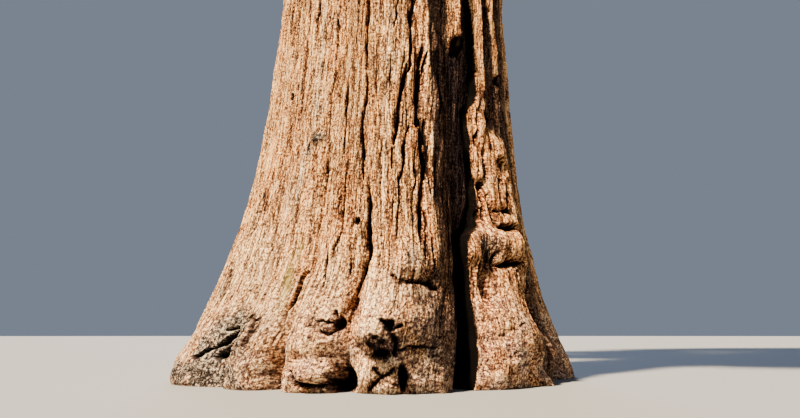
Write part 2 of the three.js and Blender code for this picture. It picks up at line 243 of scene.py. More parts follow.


# The flat planes of split bark round the deep cleft, by the edges between them from left to right. Each edge
# is a list of (height, degrees, metres out from the shaft, how burnt the plane to its right is painted, which
# is mostly painted shade on planes that face away from the light and in the cleft), from low to high. The
# two fades only say where the planes turn into the trunk's own form.
PLANE_EDGES = {
    "left_fade": [(0, 7, 0, 0), (9, 7, 0, 0)],
    "broken_column": [
        (0, 14.0, 0.02, 0.1), (0.3, 14.0, 0.04, 0.4), (0.9, 14.0, 0.06, 0.6), (1.2, 14.8, 0.05, 0.65),
        (1.5, 15.6, 0.05, 0.75), (1.9, 16.1, 0.05, 0.8), (2.3, 15.6, 0.04, 0.85), (3.6, 16.1, 0.02, 0.9),
        (4.4, 15.0, 0.02, 0.9), (5.4, 15.1, 0.02, 0.9), (9, 14, 0, 0.3),
    ],
    "first_step": [
        (0, 18.6, -0.2, 1), (0.25, 19, -0.2, 1), (0.5, 20.6, -0.2, 1), (0.72, 21.8, -0.2, 1),
        (0.92, 22.5, -0.2, 1), (1.26, 23.1, -0.2, 1), (1.65, 24.2, -0.2, 1), (1.96, 25, -0.2, 1),
        (2.28, 25.4, -0.2, 0.95), (2.8, 23.5, -0.13, 0.9), (4.4, 21.6, -0.12, 0.9), (5.4, 21, -0.1, 0.9),
        (9, 20, -0.05, 0.3),
    ],
    "second_step": [
        (0, 20.6, -0.4, 1), (0.5, 22.4, -0.4, 1), (1.3, 25, -0.4, 1), (1.9, 27, -0.38, 1),
        (2.3, 27.6, -0.3, 1), (2.8, 26.8, -0.21, 1), (3.64, 27.2, -0.2, 1), (4.36, 27.0, -0.2, 1),
        (4.42, 26.4, -0.16, 0), (5.4, 27.0, -0.16, 0), (9, 28, -0.1, 0),
    ],
    "recess_left": [
        (0, 22.6, -0.8, 1), (0.6, 25.4, -0.8, 1), (1.3, 26.8, -0.8, 1), (1.6, 26.8, -0.75, 1),
        (1.85, 28.2, -0.65, 1), (2.0, 30.4, -0.45, 1), (2.35, 31, -0.28, 1), (3.64, 31, -0.25, 1),
        (4.36, 31.4, -0.24, 1), (4.46, 32.8, -0.06, 1), (5.4, 33.2, -0.06, 1), (9, 35, -0.02, 0.3),
    ],
    "recess_right": [
        (0, 23.8, -0.8, 1), (0.6, 26.9, -0.8, 1), (1.3, 28.1, -0.8, 1), (1.6, 27.6, -0.75, 1),
        (1.85, 29.2, -0.65, 1), (1.98, 34, -0.5, 1), (2.35, 37, -0.33, 1), (3.0, 36.6, -0.31, 1),
        (3.5, 36.7, -0.31, 1), (3.62, 37.8, -0.31, 1), (3.7, 40, -0.31, 1), (3.85, 42.6, -0.31, 1),
        (4.3, 43.1, -0.3, 1), (5.4, 41.7, -0.28, 1), (9, 43, -0.12, 0.3),
    ],
    "right_wall": [
        (0, 25, -0.22, 0), (0.4, 27.3, -0.22, 0), (0.6, 28.2, -0.22, 0), (0.85, 28.2, -0.22, 0),
        (1.07, 29.1, -0.22, 0), (1.28, 29.4, -0.2, 0), (1.58, 28.5, -0.14, 0), (1.72, 29, -0.12, 0),
        (1.85, 30.4, -0.12, 0), (1.96, 36.5, -0.2, 0), (2.34, 38.4, -0.2, 0), (2.6, 39, -0.2, 0),
        (2.7, 37.3, -0.2, 0), (3.0, 37.5, -0.2, 0), (3.14, 38.8, -0.2, 0), (3.3, 37.8, -0.2, 0),
        (3.5, 37.8, -0.2, 0), (3.62, 39, -0.19, 0), (3.7, 41.4, -0.18, 0), (3.85, 44, -0.17, 0),
        (4.6, 43.9, -0.17, 0), (5.4, 43.0, -0.17, 0), (9, 45, -0.1, 0),
    ],
    "knot_plane": [
        (1.3, 44, -0.06, 0), (3.3, 44.8, -0.06, 0.05), (3.6, 46.4, -0.05, 0.9), (4.2, 46.8, -0.05, 0.9),
        (4.85, 46.2, -0.05, 0.9), (5.4, 46.6, -0.05, 0.9), (9, 47, 0, 0.2),
    ],
    "groove_floor": [
        (1.3, 48, 0, 0), (3.2, 48, -0.03, 0.05), (3.4, 49.2, -0.14, 0.9), (5.4, 49.6, -0.14, 0.9),
        (9, 50, -0.06, 0),
    ],
    "groove_right": [
        (1.3, 51, 0.02, 0), (3.16, 51, 0, 0.05), (3.3, 53, -0.12, 0.9), (4.14, 54.5, -0.08, 0.9),
        (4.2, 54.5, -0.08, 0), (4.85, 53, -0.06, 0), (5.4, 52.4, -0.06, 0), (9, 54, -0.06, 0),
    ],
    "upper_ridge": [
        (1.3, 57, 0.02, 0.8), (3.1, 57.5, 0, 0.9), (3.4, 58, -0.06, 0.95), (4.2, 57, -0.02, 0.95),
        (4.36, 56.5, 0.0, 0.95), (5.4, 55.2, 0.0, 0.95), (9, 58, 0, 0.2),
    ],
    "far_hollow": [
        (1.3, 64, -0.1, 0.8), (3.2, 66, -0.14, 0.95), (3.9, 66, -0.17, 1), (4.5, 66, -0.16, 1),
        (5.4, 66, -0.13, 1), (9, 66, -0.05, 0),
    ],
    "right_fade": [(0, 80, 0, 0), (3, 90, 0, 0), (9, 90, 0, 0)],
}
# The heights between which the planes begin and end. Lower down they go on only beside the cleft, and fade
# between these degrees on each side of it.
PLANES_BEGIN = (0.9, 1.7)
PLANES_END = (7.5, 9.0)
BESIDE_LEFT = (7.5, 15.0)
BESIDE_RIGHT = (32.0, 38.0)
EDGE_SWAY = 0.7  # the degrees by which an edge wanders
EDGE_SWAY_CELLS = (0.25, 0.4, 45)

CRACKS = [Crack(*row) for row in (
    # The left flank: long soft folds between pale ridges.
    ([(6.4, -51), (5.2, -50.8), (4.9, -51.2)], 0.03, 0.06, 1.5, 0.8),
    ([(6.4, -36.4), (5.1, -36.3), (4.75, -37)], 0.035, 0.09),
    ([(5.8, -43), (4.2, -42), (3.0, -40.5)], 0.05, 0.025, 1.5, 0.35),
    ([(4.8, -31.2), (4.3, -30.6), (3.9, -31)], 0.02, 0.035, 1.5, 0.7),
    ([(3.2, -39.5), (1.8, -36), (1.4, -36), (1.15, -38), (0.97, -38.5)], 0.07, 0.05, 2, 0.25),
    ([(2.2, -33.5), (1.45, -30.3), (1.2, -32), (0.97, -33.3)], 0.05, 0.03, 2, 0.2),
    ([(3.86, -49), (3.74, -50.4)], 0.02, 0.06),
    ([(3.18, -31.2), (2.98, -33.2), (2.86, -33.6)], 0.016, 0.05),
    ([(2.1, -57), (1.75, -52), (1.7, -47), (1.66, -35)], 0.04, 0.02, 1.5, 0.1),
    ([(1.6, -63.4), (1.4, -61), (1.19, -57.6)], 0.022, 0.07),
    ([(0.78, -62.2), (0.7, -62.8), (0.62, -63.4)], 0.02, 0.07),
    # The weathered patch low on the left: slanting splinters with black cracks between them and a rim on the
    # right.
    ([(0.78, -37), (0.84, -40.5), (0.79, -45), (0.7, -48.6), (0.68, -52.6)], 0.046, 0.12, 2),
    ([(0.7, -47.5), (0.56, -51.4), (0.44, -56.4), (0.34, -60)], 0.044, 0.14, 2),
    ([(0.79, -39.6), (0.71, -43.1), (0.64, -45.5), (0.56, -48), (0.46, -50)], 0.036, 0.12, 2),
    ([(0.52, -48.4), (0.43, -51.2), (0.33, -54.6)], 0.06, 0.14, 2),
    ([(0.71, -41.4), (0.63, -43.5), (0.54, -44.8), (0.43, -46.4)], 0.018, 0.06, 1.5, 0.9),
    ([(0.64, -40), (0.54, -42.2), (0.43, -43.9), (0.33, -47)], 0.016, 0.05, 1.5, 0.8),
    ([(0.66, -49.8), (0.53, -53.4), (0.38, -57.4)], 0.05, -0.05, 3, -1.0),
    ([(0.79, -43.4), (0.68, -46.2), (0.56, -49.4), (0.42, -53.8)], 0.045, -0.045, 3, -0.8),
    ([(0.74, -40.2), (0.6, -42.8), (0.46, -45), (0.34, -48.6)], 0.04, -0.03, 3, -0.35),
    ([(0.84, -37.6), (0.7, -38.2), (0.56, -38.8), (0.44, -40.6)], 0.08, -0.055, 2, 0),
    ([(0.82, -36.2), (0.68, -36.8), (0.52, -37.4)], 0.06, 0.04, 1.5, 0.4),
    # Between the shoulder and the left front.
    ([(5.2, -24), (4.99, -24.1), (4.76, -25), (4.19, -24.5), (3.75, -24.7)], 0.016, 0.05, 1.5, 0.8),
    ([(3.8, -18), (3.65, -18), (3.17, -18), (2.8, -17)], 0.018, 0.08),
    ([(2.75, -16), (2.3, -15.2), (1.8, -15.2), (1.5, -17)], 0.022, 0.07, 1.5, 0.7),
    ([(1.38, -25.8), (1.33, -26.3), (1.23, -26.7), (1.06, -27.8), (0.9, -29.2)], 0.024, 0.13),
    ([(0.9, -29.4), (0.68, -30.2), (0.45, -29.5), (0.1, -30.5)], 0.06, 0.03, 1.5, 0.2),
    ([(3.1, -24.4), (2.57, -23.9), (2.3, -24.3)], 0.013, 0.04, 1.5, 0.8),
    ([(2.57, -26), (2.66, -23), (2.6, -19), (2.5, -16.5)], 0.018, 0.03, 1.5, 0.25),
    ([(1.7, -18.2), (1.59, -18.2), (1.37, -18), (1.15, -17.3)], 0.018, 0.07),
    ([(4.45, -20.5), (4.2, -20.2)], 0.012, 0.04, 1.5, 0.8),
    # Between the left front and the middle.
    ([(5.1, -10.6), (4.86, -10.9), (4.35, -11), (4.0, -10.4)], 0.022, 0.12),
    ([(3.92, -10.2), (3.86, -10), (3.44, -10.1), (3.3, -10.4)], 0.02, 0.1),
    ([(3.42, -11.4), (3.1, -10.8), (2.75, -9.8), (2.5, -9.4)], 0.026, 0.12),
    ([(2.4, -7.2), (2.1, -6.2), (1.7, -5.4), (1.5, -5.4), (1.36, -6.5), (1.22, -7.1)], 0.04, 0.2),
    ([(1.24, -7.2), (1.02, -8.5), (0.73, -9)], 0.03, 0.04, 1.5, 0.4),
    ([(1.5, -10.7), (1.4, -10.5), (1.27, -11.2)], 0.018, 0.06),
    # The middle column's strands.
    ([(5.1, 2.6), (4.94, 1.9), (4.56, 0.4)], 0.018, 0.1),
    ([(4.5, 0.3), (4.25, -0.2), (4.0, -0.7), (3.5, -1.0)], 0.012, 0.04, 1.5, 0.6),
    ([(6.2, 10), (4.97, 9), (4.75, 7.6), (4.03, 7.3), (3.95, 6.6)], 0.045, 0.18),
    ([(4.04, 5.8), (3.8, 4.7), (3.62, 3.4), (3.14, 2.1), (2.95, 1.3)], 0.045, 0.18),
    ([(2.9, 1.1), (2.64, 0.9)], 0.022, 0.12),
    ([(4.3, 12.3), (4.04, 11.6), (3.55, 10.6), (3.2, 9.8)], 0.055, 0.2),
    ([(4.22, 13.7), (3.96, 13.1)], 0.024, 0.14),
    ([(3.2, 6.7), (2.87, 5.2), (2.61, 4.6), (2.48, 3.6), (2.1, 3.4), (1.7, 2.8)], 0.022, 0.12),
    ([(2.9, 9.3), (2.6, 9.2), (2.33, 8.8)], 0.018, 0.1),
    ([(3.3, 11.3), (2.88, 12), (2.68, 13), (2.49, 12.1), (2.1, 11.1), (1.66, 10.1)], 0.05, 0.2),
    ([(3.3, 12.8), (2.75, 13.9), (2.3, 14.7)], 0.02, 0.1),
    ([(2.1, 12.4), (1.73, 12.2), (1.45, 11)], 0.02, 0.09),
    ([(1.75, 14.2), (1.5, 13.6), (1.36, 13.4)], 0.018, 0.08),
    ([(3.1, -3.4), (2.6, -3.2), (2.1, -2.4)], 0.012, 0.035, 1.5, 0.5),
    ([(2.4, 8.6), (1.9, 7.9), (1.5, 7.4)], 0.014, 0.04, 1.5, 0.6),
    # The right lobe's slits, the hollow band above its brow and the shadows that hang under the brow.
    ([(3.66, 42.6), (3.42, 41.8), (3.31, 41.3), (3.15, 40.8), (3.01, 41.4), (2.82, 40.4), (2.7, 39.8)],
     0.024, 0.12),
    ([(3.06, 43.4), (2.83, 43.6), (2.7, 43.2), (2.6, 42)], 0.038, 0.16),
    ([(2.64, 42), (2.44, 40.9), (2.3, 40)], 0.055, 0.18),
    ([(2.34, 39.9), (2.17, 39.7), (2.02, 38.9)], 0.024, 0.1),
    ([(3.42, 45.2), (3.3, 47), (3.16, 46.8), (3.0, 46.3)], 0.022, 0.1),
    ([(2.95, 49.8), (2.86, 51), (2.68, 51.4)], 0.085, 0.22, 2),
    ([(2.76, 51.4), (2.48, 50.8), (2.27, 50.7), (2.11, 51.3), (2.0, 52.8)], 0.03, 0.12),
    ([(2.68, 54), (2.58, 54)], 0.022, 0.1),
    ([(2.42, 42.8), (2.2, 43), (2.08, 43), (1.96, 42.4), (1.86, 41.2)], 0.036, 0.14),
    ([(2.24, 38.9), (2.08, 38), (1.92, 36.6)], 0.028, 0.12),
    ([(2.2, 43.9), (2.18, 45.6)], 0.034, 0.1, 2),
    ([(2.19, 46.8), (2.22, 50.8)], 0.05, 0.14, 2),
    ([(1.97, 43.6), (1.96, 47), (2.0, 52.7)], 0.062, 0.16, 2),
    ([(2.04, 52.4), (1.9, 55), (1.77, 55.2), (1.62, 54), (1.48, 53)], 0.07, 0.16, 2),
    ([(1.74, 33.4), (1.6, 34.3), (1.48, 34.4), (1.38, 33.4), (1.24, 33)], 0.05, 0.12, 2),
    ([(1.66, 38), (1.52, 37.2), (1.4, 36.4)], 0.026, 0.06, 1.5, 0.9),
    ([(1.64, 40.6), (1.5, 39.6), (1.36, 38.8)], 0.034, 0.08, 1.5, 0.95),
    ([(1.48, 38.8), (1.46, 42), (1.5, 45.5)], 0.07, 0.16, 2),
    ([(1.56, 43.5), (1.51, 47), (1.53, 51)], 0.055, 0.14, 2),
    ([(1.44, 47.5), (1.2, 48), (0.98, 49)], 0.022, 0.08),
    ([(1.2, 52), (1.1, 52.6), (1.0, 54)], 0.05, 0.06, 1.5, 0.7),
    ([(2.1, 61), (1.47, 59.6), (1.2, 58.6), (1.05, 60), (0.84, 62), (0.4, 63.5), (0.0, 63)], 0.09, 0.25, 2),
    ([(0.5, 28), (0.56, 32), (0.64, 36.6), (0.7, 40.5)], 0.1, 0.03, 1.5, 0.05),
    ([(0.72, 41.5), (0.78, 44.6)], 0.02, 0.05, 1.5, 0.8),
    ([(0.4, 37), (0.44, 41)], 0.014, 0.03, 1.5, 0.5),
    ([(0.6, 50), (0.45, 51), (0.3, 50.4)], 0.024, 0.06, 1.5, 0.8),
    ([(0.5, 54), (0.3, 54.6)], 0.024, 0.07, 1.5, 0.8),
    # Creases across the middle's bulge.
    ([(1.29, 1.2), (1.22, 3.6), (1.2, 6.6)], 0.04, 0.07, 1.5, 0.7),
    ([(1.2, 5.6), (1.22, 9), (1.2, 12), (1.12, 14.5)], 0.06, 0.14, 2, 0.9),
    ([(0.45, 3.2), (0.5, 5), (0.5, 9.4), (0.48, 12.4)], 0.028, 0.06, 1.5, 0.85),
    ([(0.86, 13), (0.8, 15.4)], 0.012, 0.03, 1.5, 0.6),
    ([(0.78, -0.8), (0.72, 0.8), (0.61, 2.0), (0.53, 2.6), (0.4, 2.4)], 0.045, 0.22),
    ([(0.66, 1.9), (0.68, 2.6), (0.73, 4.2)], 0.024, 0.08),
    # Roots that cross on the middle's foot.
    ([(0.28, -2.4), (0.18, -0.6), (0.05, 4.4)], 0.03, 0.07, 1.5, 0.8),
    ([(0.28, 2.4), (0.18, -0.6), (0.12, -1.9), (0.04, -3.6)], 0.032, 0.08, 1.5, 0.85),
    # The shelf in the left front's foot, and the line under its lobe.
    ([(0.77, -17.4), (0.77, -15.4), (0.76, -13)], 0.024, 0.06, 2, 0.9),
    ([(0.67, -15.4), (0.63, -13.6), (0.67, -11.8)], 0.03, 0.08, 2, 0.9),
    ([(0.9, -13), (0.81, -12.3)], 0.03, 0.08, 2, 0.9),
    ([(1.02, -8), (0.9, -9.6), (0.79, -11.4)], 0.06, 0.05, 1.5, 0.45),
    ([(0.24, -22.4), (0.11, -20.4), (0.07, -16.3), (0.09, -12.9)], 0.042, 0.15, 2),
    ([(0.25, -13.4), (0.17, -13.1), (0.08, -12.8)], 0.03, 0.1, 2),
)]

SWELLINGS = [Swelling(*row) for row in (
    # The left flank's foot.
    ((0.56, -50), (0.24, 0.24, 0.36), -0.03, 5, 30),
    ((0.75, -38.5), (0.3, 0.4, 0.2), 0.05),
    ((1.15, -22), (0.35, 0.4, 0.3), 0.05),
    # The lobes and hollows of the left front's foot.
    ((0.73, -11.4), (0.07, 0.07, 0.065), -0.15, 4, 0, 0.9),
    ((0.71, -17), (0.06, 0.06, 0.11), -0.05, 3, 0, 0.35),
    ((0.7, -14), (0.05, 0.045, 0.1), 0.045, 4),
    ((0.5, -18.5), (0.2, 0.16, 0.26), 0.06, 3),
    ((0.2, -17.4), (0.12, 0.11, 0.25), 0.13, 4),
    ((0.14, -10.4), (0.13, 0.15, 0.15), -0.24, 5, 0, 0.97),
    ((0.2, -12.2), (0.06, 0.06, 0.085), 0.16, 3, 0, -0.8),
    ((0.16, -62), (0.2, 0.2, 0.4), 0.06, 3),
    # The knob and slit high between the left front and the middle.
    ((1.88, -8.2), (0.12, 0.1, 0.08), 0.09, 3),
    ((1.95, -10.2), (0.05, 0.05, 0.025), -0.1, 3, 0, 1.0),
    ((1.6, -11.5), (0.28, 0.2, 0.22), 0.05, 2.5),
    # The burl, round above with a pitted belly, and the knob of crossing roots under it.
    ((0.63, -1.9), (0.19, 0.15, 0.2), 0.28, 3.5),
    ((0.53, -3.2), (0.03, 0.035, 0.04), -0.06, 3, 0, 0.9),
    ((0.56, -0.6), (0.03, 0.03, 0.04), -0.05, 3, 0, 0.85),
    ((0.6, -1.9), (0.02, 0.02, 0.03), -0.04, 3, 0, 0.8),
    ((0.44, -0.6), (0.04, 0.05, 0.1), -0.14, 3, 0, 0.95),
    ((0.71, 1.1), (0.05, 0.06, 0.06), -0.16, 4, 0, 1.0),
    ((0.17, -4.3), (0.15, 0.14, 0.14), 0.12, 3.5),
    ((0.17, 1.7), (0.11, 0.1, 0.1), 0.08, 3.5),
    ((0.03, 0.3), (0.1, 0.08, 0.15), 0.11, 3.5),
    ((0.31, -0.4), (0.08, 0.07, 0.12), 0.06, 3),
    ((0.17, 4.2), (0.15, 0.14, 0.055), -0.2, 5, 0, 1.0),
    # The middle's big bulge: a lump that overhangs its crease, a fuller one below it, turned in towards the
    # cleft.
    ((1.44, 8.4), (0.34, 0.16, 0.28), 0.18, 4),
    ((0.84, 4.0), (0.28, 0.36, 0.38), 0.14, 2.6),
    ((0.2, 9.5), (0.2, 0.24, 0.2), 0.05, 2.5),
    # The holes at the ends of the split planes, kept shallow, with their shade painted black.
    ((4.46, 32.0), (0.12, 0.1, 0.1), -0.07, 6, 14, 1.0),
    ((3.52, 47.6), (0.1, 0.12, 0.08), -0.06, 5, 0, 1.0),
    ((4.12, 58), (0.09, 0.1, 0.1), -0.07, 5, 0, 1.0),
    ((4.36, 18.2), (0.2, 0.16, 0.03), 0.12, 2),
    ((3.56, 17.6), (0.26, 0.24, 0.03), 0.14, 2),
    ((3.55, 20.8), (0.16, 0.16, 0.02), 0.14, 2),
    # The right lobe: a heavy brow that overhangs, over a rounded foot.
    ((1.68, 31.2), (0.17, 0.19, 0.11), 0.09, 3.5),
    ((1.62, 37.6), (0.2, 0.2, 0.13), -0.05, 3, 0, 0.3),
    ((1.78, 46), (0.22, 0.2, 0.26), 0.15, 3),
    ((0.75, 45), (0.42, 0.3, 0.42), 0.1, 3),
    ((0.34, 36), (0.24, 0.2, 0.28), 0.1, 3),
    ((0.85, 34), (0.2, 0.2, 0.22), 0.06, 3),
    ((0.46, 50), (0.24, 0.22, 0.24), 0.08, 3),
    ((3.1, -29.5), (0.07, 0.08, 0.08), 0.05, 3),
    ((1.74, -46.8), (0.035, 0.035, 0.035), -0.03, 3, 0, 0.45),
    ((4.14, -0.6), (0.1, 0.08, 0.08), 0.04, 3),
)]

# How paths and rims wander, and how ragged a crack's width is: the amount and the cells of its noise.
WANDER = 0.02
WANDER_CELLS = (0.12, 0.3)
WANDER_SEEDS = (401, 402)
CRACK_SEED = 500
RAGGED = 0.5
RAGGED_CELLS = (0.3, 0.22)
CRACK_WIDTH = 0.65  # makes a crack at half its depth as wide as its row says
CRACK_ENDS = 0.3  # the power of the share of a path by which a crack narrows to its ends
DEGREE_LENGTH = 0.04  # metres, about one degree of arc on the trunk
LEAST_RADIUS = 1.4  # of the trunk where anything is carved
CRACK_MARGIN = 0.05  # metres beyond three widths at which a crack no longer shows
SWELLING_MARGIN = 0.1  # and beyond two sizes of a swelling


def along(path, degrees, height, metre):
    """The distance in metres from each place to a path, and the share of the path reached at its nearest
    point."""
    spans = [(b[0] - a[0], (b[1] - a[1]) * DEGREE_LENGTH) for a, b in zip(path, path[1:])]
    lengths = [math.hypot(*span) for span in spans]
    nearest = np.full(degrees.shape, np.inf)
    share = np.zeros(degrees.shape)
    done = 0.0
    for (z0, d0), (z1, d1), length in zip(path, path[1:], lengths):
        to_x, to_z = (degrees - d0) * metre, height - z0
        span_x, span_z = (d1 - d0) * metre, z1 - z0
        t = np.clip((to_x * span_x + to_z * span_z) / (span_x**2 + span_z**2), 0, 1)
        far = np.hypot(to_x - t * span_x, to_z - t * span_z)
        share = np.where(far < nearest, (done + t * length) / sum(lengths), share)
        nearest = np.minimum(far, nearest)
        done += length
    return nearest, share


def near(degrees, z, heights, angles, reach):
    """The block of rows and columns that lies within reach of these heights and angles, or None."""
    rows = np.flatnonzero((z > min(heights) - reach) & (z < max(heights) + reach))
    wide = math.degrees(reach / LEAST_RADIUS)
    columns = np.flatnonzero(((degrees > min(angles) - wide) & (degrees < max(angles) + wide)).any(axis=0))
    if not len(rows) or not len(columns):
        return None
    return slice(rows[0], rows[-1] + 1), slice(columns[0], columns[-1] + 1)


def carve(degrees, z, radius, across):
    """Adds the cracks and swellings to the radius. A crack is deepest on its path and narrows to its ends,
    and a swelling falls off with its own distance to the power of its edge. Painted shade darkens cracks,
    holes and hollows, and a swelling's below 0 clears what is there. Returns what was added, the painted
    shade and how bleached the raised splinters are."""
    added = np.zeros(radius.shape)
    painted_shade = np.zeros(radius.shape)
    bleached = np.zeros(radius.shape)
    height = np.broadcast_to(z[:, None], radius.shape)
    grain = np.broadcast_to(across, radius.shape)
    shift_x, shift_z = (WANDER * bark_noise(grain, height, *WANDER_CELLS, seed, 2) for seed in WANDER_SEEDS)
    for k, crack in enumerate(CRACKS):
        heights, angles = zip(*crack.path)
        block = near(degrees, z, heights, angles, 3 * crack.width + CRACK_MARGIN)
        if block is None:
            continue
        metre = radius[block] * math.radians(1)
        places = degrees[block] + shift_x[block] / metre
        far, share = along(crack.path, places, height[block] + shift_z[block], metre)
        ragged = 1 + RAGGED * bark_noise(grain[block], height[block], *RAGGED_CELLS, CRACK_SEED + k)
        width = CRACK_WIDTH * crack.width * ragged * (4 * share * (1 - share) + 0.02) ** CRACK_ENDS
        deep = np.minimum(ragged, 1) * np.exp(-((far / width) ** (crack.edge + 0.5)))
        added[block] -= crack.depth * deep
        painted_shade[block] = np.maximum(painted_shade[block], crack.painted_shade * deep)
        bleached[block] = np.maximum(bleached[block], -crack.painted_shade * deep)
    for swelling in SWELLINGS:
        z0, d0 = swelling.at
        above, below, wide = swelling.size
        block = near(degrees, z, (z0,), (d0,), 2 * max(swelling.size) + SWELLING_MARGIN)
        if block is None:
            continue
        metre = radius[block] * math.radians(1)
        x = (degrees[block] - d0) * metre + shift_x[block]
        y = height[block] - z0 + shift_z[block]
        c, s = math.cos(math.radians(swelling.turn)), math.sin(math.radians(swelling.turn))
        x, y = x * c + y * s, y * c - x * s
        far = np.hypot(x / wide, y / np.where(y > 0, above, below))
        full = np.exp(-(far**swelling.edge))
        added[block] += swelling.out * full
        painted_shade[block] *= 1 - max(0, -swelling.painted_shade) * full
        painted_shade[block] = np.maximum(painted_shade[block], swelling.painted_shade * np.minimum(1.5 * full, 1))
    return added, painted_shade, bleached


def split_planes(degrees, z, shift):
    """The planes between the edges: at each height an edge's angle and offset come from its own list, and
    between two edges the offset is a straight line across. Returns the offset from the shaft, the charring
    and painted shade, how much of the trunk's own form the planes replace, how far a plane faces outward,
    from 0 to 1, and the metres that a steep plane adds to the bark's layout, where its true width is the root
    of its width and depth squared."""
    tables = [np.array(edge).T for edge in PLANE_EDGES.values()]
    edges = [[np.interp(z, table[0], column)[:, None] for column in table[1:]] for table in tables]
    places = degrees + shift
    out, char_and_shade, share, laid = (np.zeros(degrees.shape) for _ in range(4))
    facing = np.ones(degrees.shape)
    last = len(edges) - 2
    for k, ((a0, out0, char_and_shade0), (a1, out1, _)) in enumerate(zip(edges, edges[1:])):
        t = (places - a0) / (a1 - a0)
        between = (t >= 0) & (t < 1)
        level, black, cover = mix(out0, out1, t), char_and_shade0, 1
        if k == 0:
            level, cover = out1, t
        if k == last:
            level, black, cover = out0, char_and_shade0 * (1 - t * t), 1 - t
        out = np.where(between, level, out)
        char_and_shade = np.where(between, black, char_and_shade)
        share = np.where(between, cover, share)
        if 0 < k < last:
            width = np.radians(a1 - a0) * shaft_radius(z)[:, None]
            slant = np.hypot(width, out1 - out0)
            facing = np.where(between, width / slant, facing)
            laid = np.where(between, t * (slant - width), laid)
    high = 1 - smooth(z, *PLANES_END)[:, None]
    beside = smooth(places, *BESIDE_LEFT) * (1 - smooth(places, *BESIDE_RIGHT))
    share = share * high * np.maximum(smooth(z, *PLANES_BEGIN)[:, None], beside)
    return out, char_and_shade * high, share, mix(1, facing, share), laid * share


# How rough the bark is, at angles round the trunk: soft on the left, deep beside the cleft and on the right.
ROUGH_AT = [-110, -70, -30, -10, 4, 12, 30, 60, 100, 180, 250]
ROUGHNESS = [0.6, 0.3, 0.25, 0.3, 0.42, 0.7, 0.5, 0.6, 0.8, 0.9, 0.6]
HIGH_ROUGHNESS = 0.9

# The heights between which the foot's own surface ends, the fine relief ends and the upper shaft's begins.
FOOT_ENDS = (0.3, 1.4)
FINE_ENDS = (5.8, 7.0)
UPPER_BEGINS = (6.0, 12.0)

# The relief's patterns: a cell's width across the grain and length along it in metres, a seed and the
# octaves.
FOOT_EDGE = (0.6, 0.6, 10)
LONG_SWAY = (0.9, 2.6, 11, 2)
SHORT_SWAY = (0.2, 0.7, 12)
RIB = (0.26, 2.6, 13, 2)
STRAND = (0.1, 1.3, 15, 2)
FIBRE = (0.045, 0.4, 17, 2)
GRAIN_OF_CORK = (0.04, 0.06, 19, 2)
SLIT = (0.15, 1.9, 21)
SLIT_RUN = (0.32, 0.9, 22)
LUMP = (0.5, 0.45, 27, 2)
KNOB = (0.16, 0.13, 28, 2)
PIT = (0.08, 0.06, 29)
UPPER_RIB = (0.45, 4.5, 33)
PLATE = (0.18, 1.6, 35, 2)

SWAY = (0.05, 0.012)  # metres, of the long and the short sway

# Their depths in metres. Where there are two, the second is for the roughest bark and is added to the first.
RIB_DEPTH = 0.055
STRAND_DEPTH = (0.008, 0.016)
FIBRE_DEPTH = (0.004, 0.004)
CORK_DEPTH = 0.0045
SLIT_DEPTH = (0.01, 0.06)
LUMP_DEPTH = 0.06
KNOB_DEPTH = 0.01
PIT_DEPTH = 0.018
UPPER_DEPTH = 0.04

FOOT_SHARE = 0.75  # of the ribs and strands, and of their colour, that is lost at the foot
FOOT_EDGE_SWAY = 0.15
SLIT_WIDTH = 0.055  # of the noise on each side of its zero line
SLIT_STARTS = (0.1, 0.4)
PIT_FROM = 0.5  # the noise at which a pit starts

# How open a place is to the air, with shade painted into valleys, slits and pits: at rest, and what each
# pattern adds or takes away.
OPEN_AT_REST = 0.62
OPEN_BACK = 0.1
OPEN_FIBRE = 0.1
OPEN_CORK = 0.12
OPEN_KNOB = 0.05
SLIT_SHADE = 0.25
PIT_SHADE = 0.6
FIBRE_FADE = 0.4  # of a fibre's share that is lost at the foot


def strands(across, height, width, length, seed, octaves=1):
    """Rounded strands with sharp valleys between them, from -1 to 1: twice the root of the noise's size,
    less 1."""
    rope = np.abs(bark_noise(across, height, width, length, seed, octaves))
    return 2 * np.sqrt(np.minimum(rope, 1)) - 1


